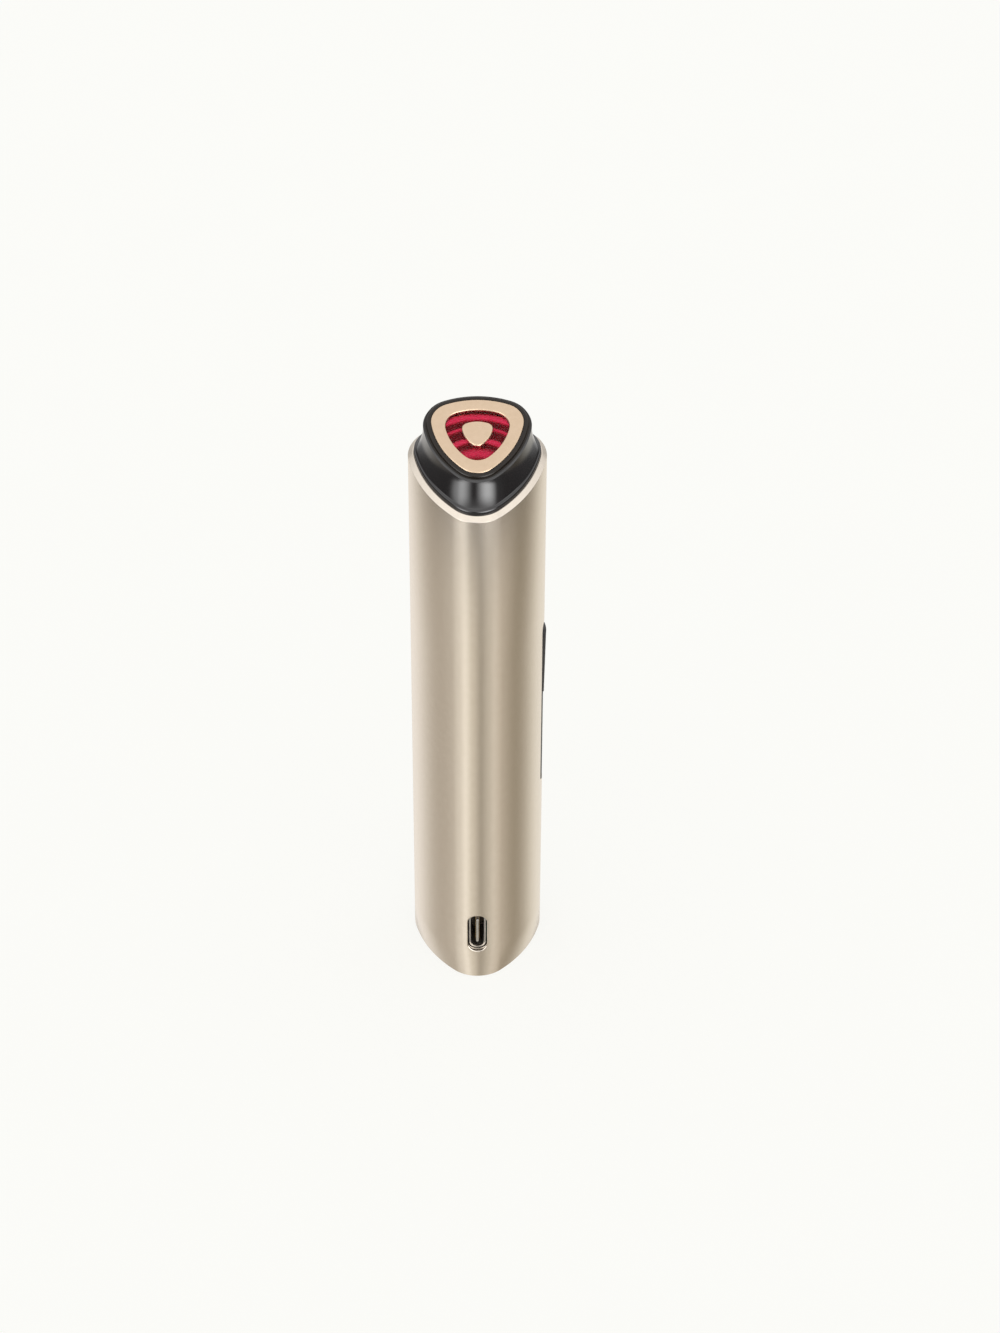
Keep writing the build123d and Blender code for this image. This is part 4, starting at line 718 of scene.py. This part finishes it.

# %% [markdown]
# ## Red window
# Between the electrodes lies a red lens with curved ribs under it: they spread the light of the lamps
# and show as bright and dark bands. So the window is made of two pieces, as such lenses often are: a
# light guide whose upper face rolls in ripples about one centre, and a tinted glass over it. Bands
# painted alone would be quicker, but they would look the same from every side. The ripples are a rule too:
# the height of a point depends only on its distance from that centre. The crests keep that height as
# an attribute, which the finish reads to paint them brighter and the valleys darker: a painted
# highlight on the crests and painted shade in the valleys, on top of the light that the ripples catch.

# %% Finish of the light guide
# Colours of the guide from valley to crest: painted shade in the valleys, a painted highlight on the
# crests.
CREST_PAINTED_LIGHT_STOPS = ((0.0, (0.115, 0.003, 0.006)), (0.35, (0.24, 0.005, 0.014)), (0.85, (0.64, 0.034, 0.092)))
MOTTLE_SCALE, MOTTLE_SHARE = 1100.0, 0.35
VALLEY_ROUGHNESS, CREST_ROUGHNESS = 0.22, 0.32
GUIDE_METALLIC, GUIDE_SPECULAR = 0.6, 0.2


def guide_material():
    """Deep red satin moulding, with painted shade in the valleys and a painted crimson highlight on the
    crests.
    """
    material = bpy.data.materials.new("light_guide_red")
    material.use_nodes = True
    tree = material.node_tree
    shader = tree.nodes["Principled BSDF"]
    crest = Number(tree, add_node(tree, "ShaderNodeAttribute", attribute_name="crest").outputs["Fac"])
    place = add_node(tree, "ShaderNodeTexCoord").outputs["Object"]
    mottle = add_node(tree, "ShaderNodeTexNoise", Vector=place, Scale=MOTTLE_SCALE, Detail=2.0)
    share = crest + (Number(tree, mottle.outputs["Fac"]) - 0.5) * MOTTLE_SHARE
    colour = add_node(tree, "ShaderNodeValToRGB", Fac=share)
    colour.color_ramp.elements.new(0.5)
    for element, (position, shade) in zip(colour.color_ramp.elements, CREST_PAINTED_LIGHT_STOPS):
        element.position, element.color = position, (*shade, 1)
    feed(tree, colour.outputs["Color"], shader.inputs["Base Color"])
    feed(tree, share * (CREST_ROUGHNESS - VALLEY_ROUGHNESS) + VALLEY_ROUGHNESS, shader.inputs["Roughness"])
    shader.inputs["Metallic"].default_value = GUIDE_METALLIC
    shader.inputs["Specular IOR Level"].default_value = GUIDE_SPECULAR
    return material


print("colours along a rib:", len(CREST_PAINTED_LIGHT_STOPS))

# %% Light guide with its ribs
RIPPLE_X, RIPPLE_Y = 0.0, -8.75 * MM
# Each rib's radius and half width in mm, and its share of the full height.
RIBS = ((12.65, 0.90, 1.0), (10.28, 0.52, 0.8), (7.55, 0.80, 0.95), (4.65, 1.5, 0.8))
GUIDE_TOP, GUIDE_BOTTOM, RIB_HEIGHT = 0.95 * MM, 1.88 * MM, 0.30 * MM
GUIDE_FIT = 0.03 * MM
guide_sizes = {
    "Width": WINDOW[0], "Corner radius": WINDOW[1], "Side distance": WINDOW[2],
    "Bore width": CORE[0], "Bore corner radius": CORE[1], "Bore side distance": CORE[2],
    "Top depth": GUIDE_TOP, "Bottom depth": GUIDE_BOTTOM, "Rib height": RIB_HEIGHT,
    "Points round": HEAD_POINTS, "Rows": 64,
}


def guide_tree():
    """The light guide: rows run from its outer foot over the rippled top to the bore and back."""
    tree, size = new_tree("light_guide", guide_sizes)
    rows = size["Rows"]
    grid = add_node(tree, "GeometryNodeMeshGrid", Size_X=1.0, Size_Y=1.0,
                    Vertices_X=size["Points round"] + 1.0, Vertices_Y=rows + 1.0)
    place_x, place_y, _ = parts_of(tree, tree.nodes.new("GeometryNodeInputPosition").outputs[0])
    row = ((place_y + 0.5) * rows).math("ROUND")
    last = row.math("GREATER_THAN", rows - 0.5)
    inwards = ((row - 1.0) / (rows - 3.0)).math("MAXIMUM", 0.0).math("MINIMUM", 1.0)
    inwards = inwards * (last * -1.0 + 1.0)
    below = row.math("LESS_THAN", 0.5) + row.math("GREATER_THAN", rows - 1.5)
    turn = place_x + 0.5
    outer = triangle_point(turn, [size[label] for label in OUTLINE_LABELS], -GUIDE_FIT)
    bore = triangle_point(turn, [size["Bore " + label.lower()] for label in OUTLINE_LABELS], GUIDE_FIT)
    x, y = [a.towards(b, inwards) for a, b in zip(outer, bore)]
    away_x, away_y = x - RIPPLE_X, y - RIPPLE_Y
    distance = (away_x * away_x + away_y * away_y).math("SQRT")
    ribs = [distance.hump(radius * MM, half_width * MM) * height for radius, half_width, height in RIBS]
    crest = sum(ribs[1:], ribs[0])
    depth = (size["Top depth"] - crest * size["Rib height"]).towards(size["Bottom depth"], below)
    place = add_node(tree, "ShaderNodeCombineXYZ", X=x,
                     Y=y * math.cos(HEAD_TILT) + depth * math.sin(HEAD_TILT),
                     Z=y * math.sin(HEAD_TILT) - depth * math.cos(HEAD_TILT) + HEAD_HEIGHT)
    marked = add_node(tree, "GeometryNodeStoreNamedAttribute", Geometry=grid.outputs["Mesh"],
                      Name="crest", Value=crest)
    moved = add_node(tree, "GeometryNodeSetPosition", Geometry=marked.outputs[0],
                     Position=place.outputs[0])
    merged = add_node(tree, "GeometryNodeMergeByDistance", Geometry=moved.outputs[0],
                      Distance=MERGE_DISTANCE)
    close_tree(tree, merged.outputs[0], guide_material())
    return tree


RIB_ANGLE = 60.0       # the ribs stay soft, and only the guide's real edges are crisp
light_guide = grow("light_guide", guide_tree(), guide_sizes, sharp=RIB_ANGLE)
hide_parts("light_window")
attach(light_guide, "housing")


# %% Red glass over the ribs
GLASS_TOP, GLASS_BOTTOM = 0.15 * MM, 0.60 * MM
GLASS_FIT, BORE_FIT = -0.01 * MM, 0.03 * MM
# How far the rings of the rounded edges are moved outwards and lie under the top, in mm.
GLASS_OUTSIDE = ((-0.01, 0.08), (-0.04, 0.02), (-0.09, 0.0))
GLASS_INSIDE = ((0.11, 0.0), (0.06, 0.02), (0.03, 0.08))
GLASS_TINT = ((0.95, 0.80, 0.84), (0.97, 0.85, 0.88))
CLOUD_SCALE, GLASS_ROUGHNESS = 500.0, (0.02, 0.05)
# A low IOR keeps the glass from mirroring the studio over the dark valleys.
GLASS_IOR, GLASS_SPECULAR = 1.12, 0.1


def glass_material():
    """Polished tinted glass, a little cloudier where the noise is high."""
    material = bpy.data.materials.new("red_glass")
    material.use_nodes = True
    tree = material.node_tree
    shader = tree.nodes["Principled BSDF"]
    place = add_node(tree, "ShaderNodeTexCoord").outputs["Object"]
    cloud = add_node(tree, "ShaderNodeTexNoise", Vector=place, Scale=CLOUD_SCALE, Detail=2.0)
    colour = add_node(tree, "ShaderNodeValToRGB", Fac=cloud.outputs["Fac"])
    for element, position, shade in zip(colour.color_ramp.elements, (0.3, 0.7), GLASS_TINT):
        element.position, element.color = position, (*shade, 1)
    feed(tree, colour.outputs["Color"], shader.inputs["Base Color"])
    gloss = add_node(tree, "ShaderNodeMapRange", Value=cloud.outputs["Fac"],
                     To_Min=GLASS_ROUGHNESS[0], To_Max=GLASS_ROUGHNESS[1])
    feed(tree, gloss.outputs["Result"], shader.inputs["Roughness"])
    shader.inputs["Transmission Weight"].default_value = 1.0
    shader.inputs["Specular IOR Level"].default_value = GLASS_SPECULAR
    shader.inputs["IOR"].default_value = GLASS_IOR
    return material


glass_rings = [on_head(share, growth * MM, GLASS_TOP + depth * MM)
               for share, edge in ((0.0, GLASS_OUTSIDE), (1.0, GLASS_INSIDE)) for growth, depth in edge]
glass_rings = [on_head(0.0, GLASS_FIT, GLASS_BOTTOM), *glass_rings, on_head(1.0, BORE_FIT, GLASS_BOTTOM)]
glass = head_piece("red_glass", glass_rings, glass_material(), "light_window",
                   outer=WINDOW, bore=CORE)

# %% [markdown]
# ## Floor and light
# The picture's ground is a warm white without an edge, and the wand throws hardly any shadow on it. A
# large floor of that colour runs past the view. Seen by the camera it glows a little of its own
# colour, which lifts it to the picture's white and leaves a faint shadow.

# %% Floor
FLOOR_REACH = 3.0
GROUND, GLOW_SHARE = (0.985, 0.985, 0.958), 0.8
FLOOR_CORNERS = ((-1, -1), (1, -1), (1, 1), (-1, 1))
floor_data = bpy.data.meshes.new("floor")
floor_data.from_pydata([(x * FLOOR_REACH, y * FLOOR_REACH, 0) for x, y in FLOOR_CORNERS],
                       [], [(0, 1, 2, 3)])
floor = bpy.data.objects.new("floor", floor_data)
bpy.context.scene.collection.objects.link(floor)
floor_finish = finish_material("floor_paper", (0.925, 0.925, 0.900), (0.935, 0.935, 0.910), 0.9, 0.05,
                               0.004, 0.00001, Specular_IOR_Level=0.0)
floor_tree = floor_finish.node_tree
glow = add_node(floor_tree, "ShaderNodeEmission", Color=(*GROUND, 1))
seen = Number(floor_tree, floor_tree.nodes.new("ShaderNodeLightPath").outputs["Is Camera Ray"])
mix = add_node(floor_tree, "ShaderNodeMixShader", Fac=seen * GLOW_SHARE)
feed(floor_tree, floor_tree.nodes["Principled BSDF"].outputs[0], mix.inputs[1])
feed(floor_tree, glow.outputs[0], mix.inputs[2])
feed(floor_tree, mix.outputs[0], floor_tree.nodes["Material Output"].inputs["Surface"])
floor.data.materials.append(floor_finish)
floor.visible_glossy = False
print("floor side, m:", 2 * FLOOR_REACH)

# %% [markdown]
# ## Sky
# The studio stands in the sky: matt surfaces are lit by a plain white one, and only metal, gloss and
# glass see the soft boxes and flags. The low part has upright bands, which give the tube its soft
# stripes. Over them stand dark walls, a lighter one behind the wand, with two tall strip lights in
# front, which make the two streaks on the collar. A bright ceiling lights the bevel of the mouth and
# the face of the head. Lamps could do the same, but a sky gives less noise and shows in no view.

# %% Bands of the low studio
# Azimuth in degrees, 0 in front of the wand and 90 at its right, with the colour there.
BANDS = [(-180, (1.00, 0.96, 0.92)), (-145, (1.03, 1.00, 0.96)), (-100, (0.55, 0.51, 0.45)),
         (-60, (0.86, 0.83, 0.77)), (-38, (1.14, 1.12, 1.05)), (-14, (0.80, 0.76, 0.68)),
         (12, (0.46, 0.43, 0.37)), (35, (0.66, 0.63, 0.56)), (54, (0.82, 0.78, 0.71)),
         (77, (0.71, 0.66, 0.58)), (101, (0.37, 0.33, 0.26)), (142, (0.96, 0.93, 0.85)),
         (180, (1.00, 0.96, 0.92))]
world = bpy.data.worlds.new("studio")
bpy.context.scene.world = world
world.use_nodes = True
sky = world.node_tree
sky.nodes.clear()
east, north, up = parts_of(sky, sky.nodes.new("ShaderNodeTexCoord").outputs["Generated"])
azimuth = east.math("ARCTAN2", north * -1.0) * math.degrees(1)
elevation = up.math("ARCSINE") * math.degrees(1)
bands = add_node(sky, "ShaderNodeValToRGB", Fac=azimuth.ramp(-180.0, 180.0, smooth=False))
ramp = bands.color_ramp
ramp.interpolation = "EASE"
for angle, _ in BANDS[1:-1]:
    ramp.elements.new((angle + 180) / 360)
for element, (angle, shade) in zip(ramp.elements, BANDS):
    element.position, element.color = (angle + 180) / 360, (*shade, 1)
print("bands in the sky:", len(BANDS))


# %% Walls, strip lights and ceiling
def blend(tree, share, low, high):
    """A colour between two others."""
    node = add_node(tree, "ShaderNodeMix", data_type="RGBA")
    for index, value in ((0, share), (6, low), (7, high)):
        feed(tree, value, node.inputs[index])
    return node.outputs[2]


def grey(tree, level):
    """A grey from a Number."""
    return add_node(tree, "ShaderNodeCombineXYZ", X=level, Y=level, Z=level).outputs[0]


# Angles in degrees: where the front part ends at the sides, and where the back wall begins.
FRONT_EDGE, BACK_EDGE = (78.0, 68.0), (118.0, 150.0)
# Elevations: where the bands end, the walls brighten, the ceiling begins, and how much higher in front.
BANDS_END, WALLS_BRIGHTEN, CEILING_START, FRONT_RISE = (-29.5, -24.0), (10.0, 40.0), (12.0, 28.0), 23.0
WALL, WALL_FRONT, WALL_BEHIND, WALL_HIGH = 0.165, 0.08, 0.50, 0.30
CEILING, CEILING_FRONT, CEILING_LOW = 0.93, 0.30, 0.16
CEILING_TURNS, CEILING_LOWERS = (-0.25, 0.35), (60.0, 35.0)
# Each strip's azimuth, half width, level and lowest elevation.
STRIPS = ((-48.0, 36.0, 3.5, -22.0), (30.0, 38.0, 4.6, -19.0))
STRIP_FOOT, STRIP_TOP, STRIP_SOFTNESS = 6.0, (50.0, 8.0), 2.0
PLAIN_WHITE = (0.975, 0.975, 0.950)

facing = azimuth.math("ABSOLUTE").ramp(*FRONT_EDGE)
behind = azimuth.math("ABSOLUTE").ramp(*BACK_EDGE)
strips = [azimuth.hump(angle, half_width).math("POWER", STRIP_SOFTNESS)
          * elevation.ramp(lowest, lowest + STRIP_FOOT) * elevation.ramp(*STRIP_TOP) * facing * level
          for angle, half_width, level, lowest in STRIPS]
walls = facing * WALL_FRONT + behind * WALL_BEHIND + elevation.ramp(*WALLS_BRIGHTEN) * WALL_HIGH + WALL
ceiling = ((north * -1.0).ramp(*CEILING_TURNS) * CEILING_FRONT
           + elevation.ramp(*CEILING_LOWERS) * CEILING_LOW + CEILING)
low_room = blend(sky, elevation.ramp(*BANDS_END), bands.outputs["Color"], grey(sky, walls))
room = blend(sky, (elevation - facing * FRONT_RISE).ramp(*CEILING_START), low_room, grey(sky, ceiling))
lit_room = add_node(sky, "ShaderNodeVectorMath", operation="ADD", Vector=room)
feed(sky, grey(sky, sum(strips[1:], strips[0])), lit_room.inputs[1])
print("strip lights:", len(STRIPS))

# %% Two skies in one: plain for matt surfaces, the studio for metal and glass
path = sky.nodes.new("ShaderNodeLightPath").outputs
shiny = Number(sky, path["Is Glossy Ray"]).math("MAXIMUM", Number(sky, path["Is Transmission Ray"]))
plain = add_node(sky, "ShaderNodeBackground", Color=(*PLAIN_WHITE, 1))
studio = add_node(sky, "ShaderNodeBackground", Color=lit_room.outputs[0])
choice = add_node(sky, "ShaderNodeMixShader", Fac=shiny)
feed(sky, plain.outputs[0], choice.inputs[1])
feed(sky, studio.outputs[0], choice.inputs[2])
feed(sky, choice.outputs[0], sky.nodes.new("ShaderNodeOutputWorld").inputs["Surface"])
print("nodes in the sky:", len(sky.nodes))
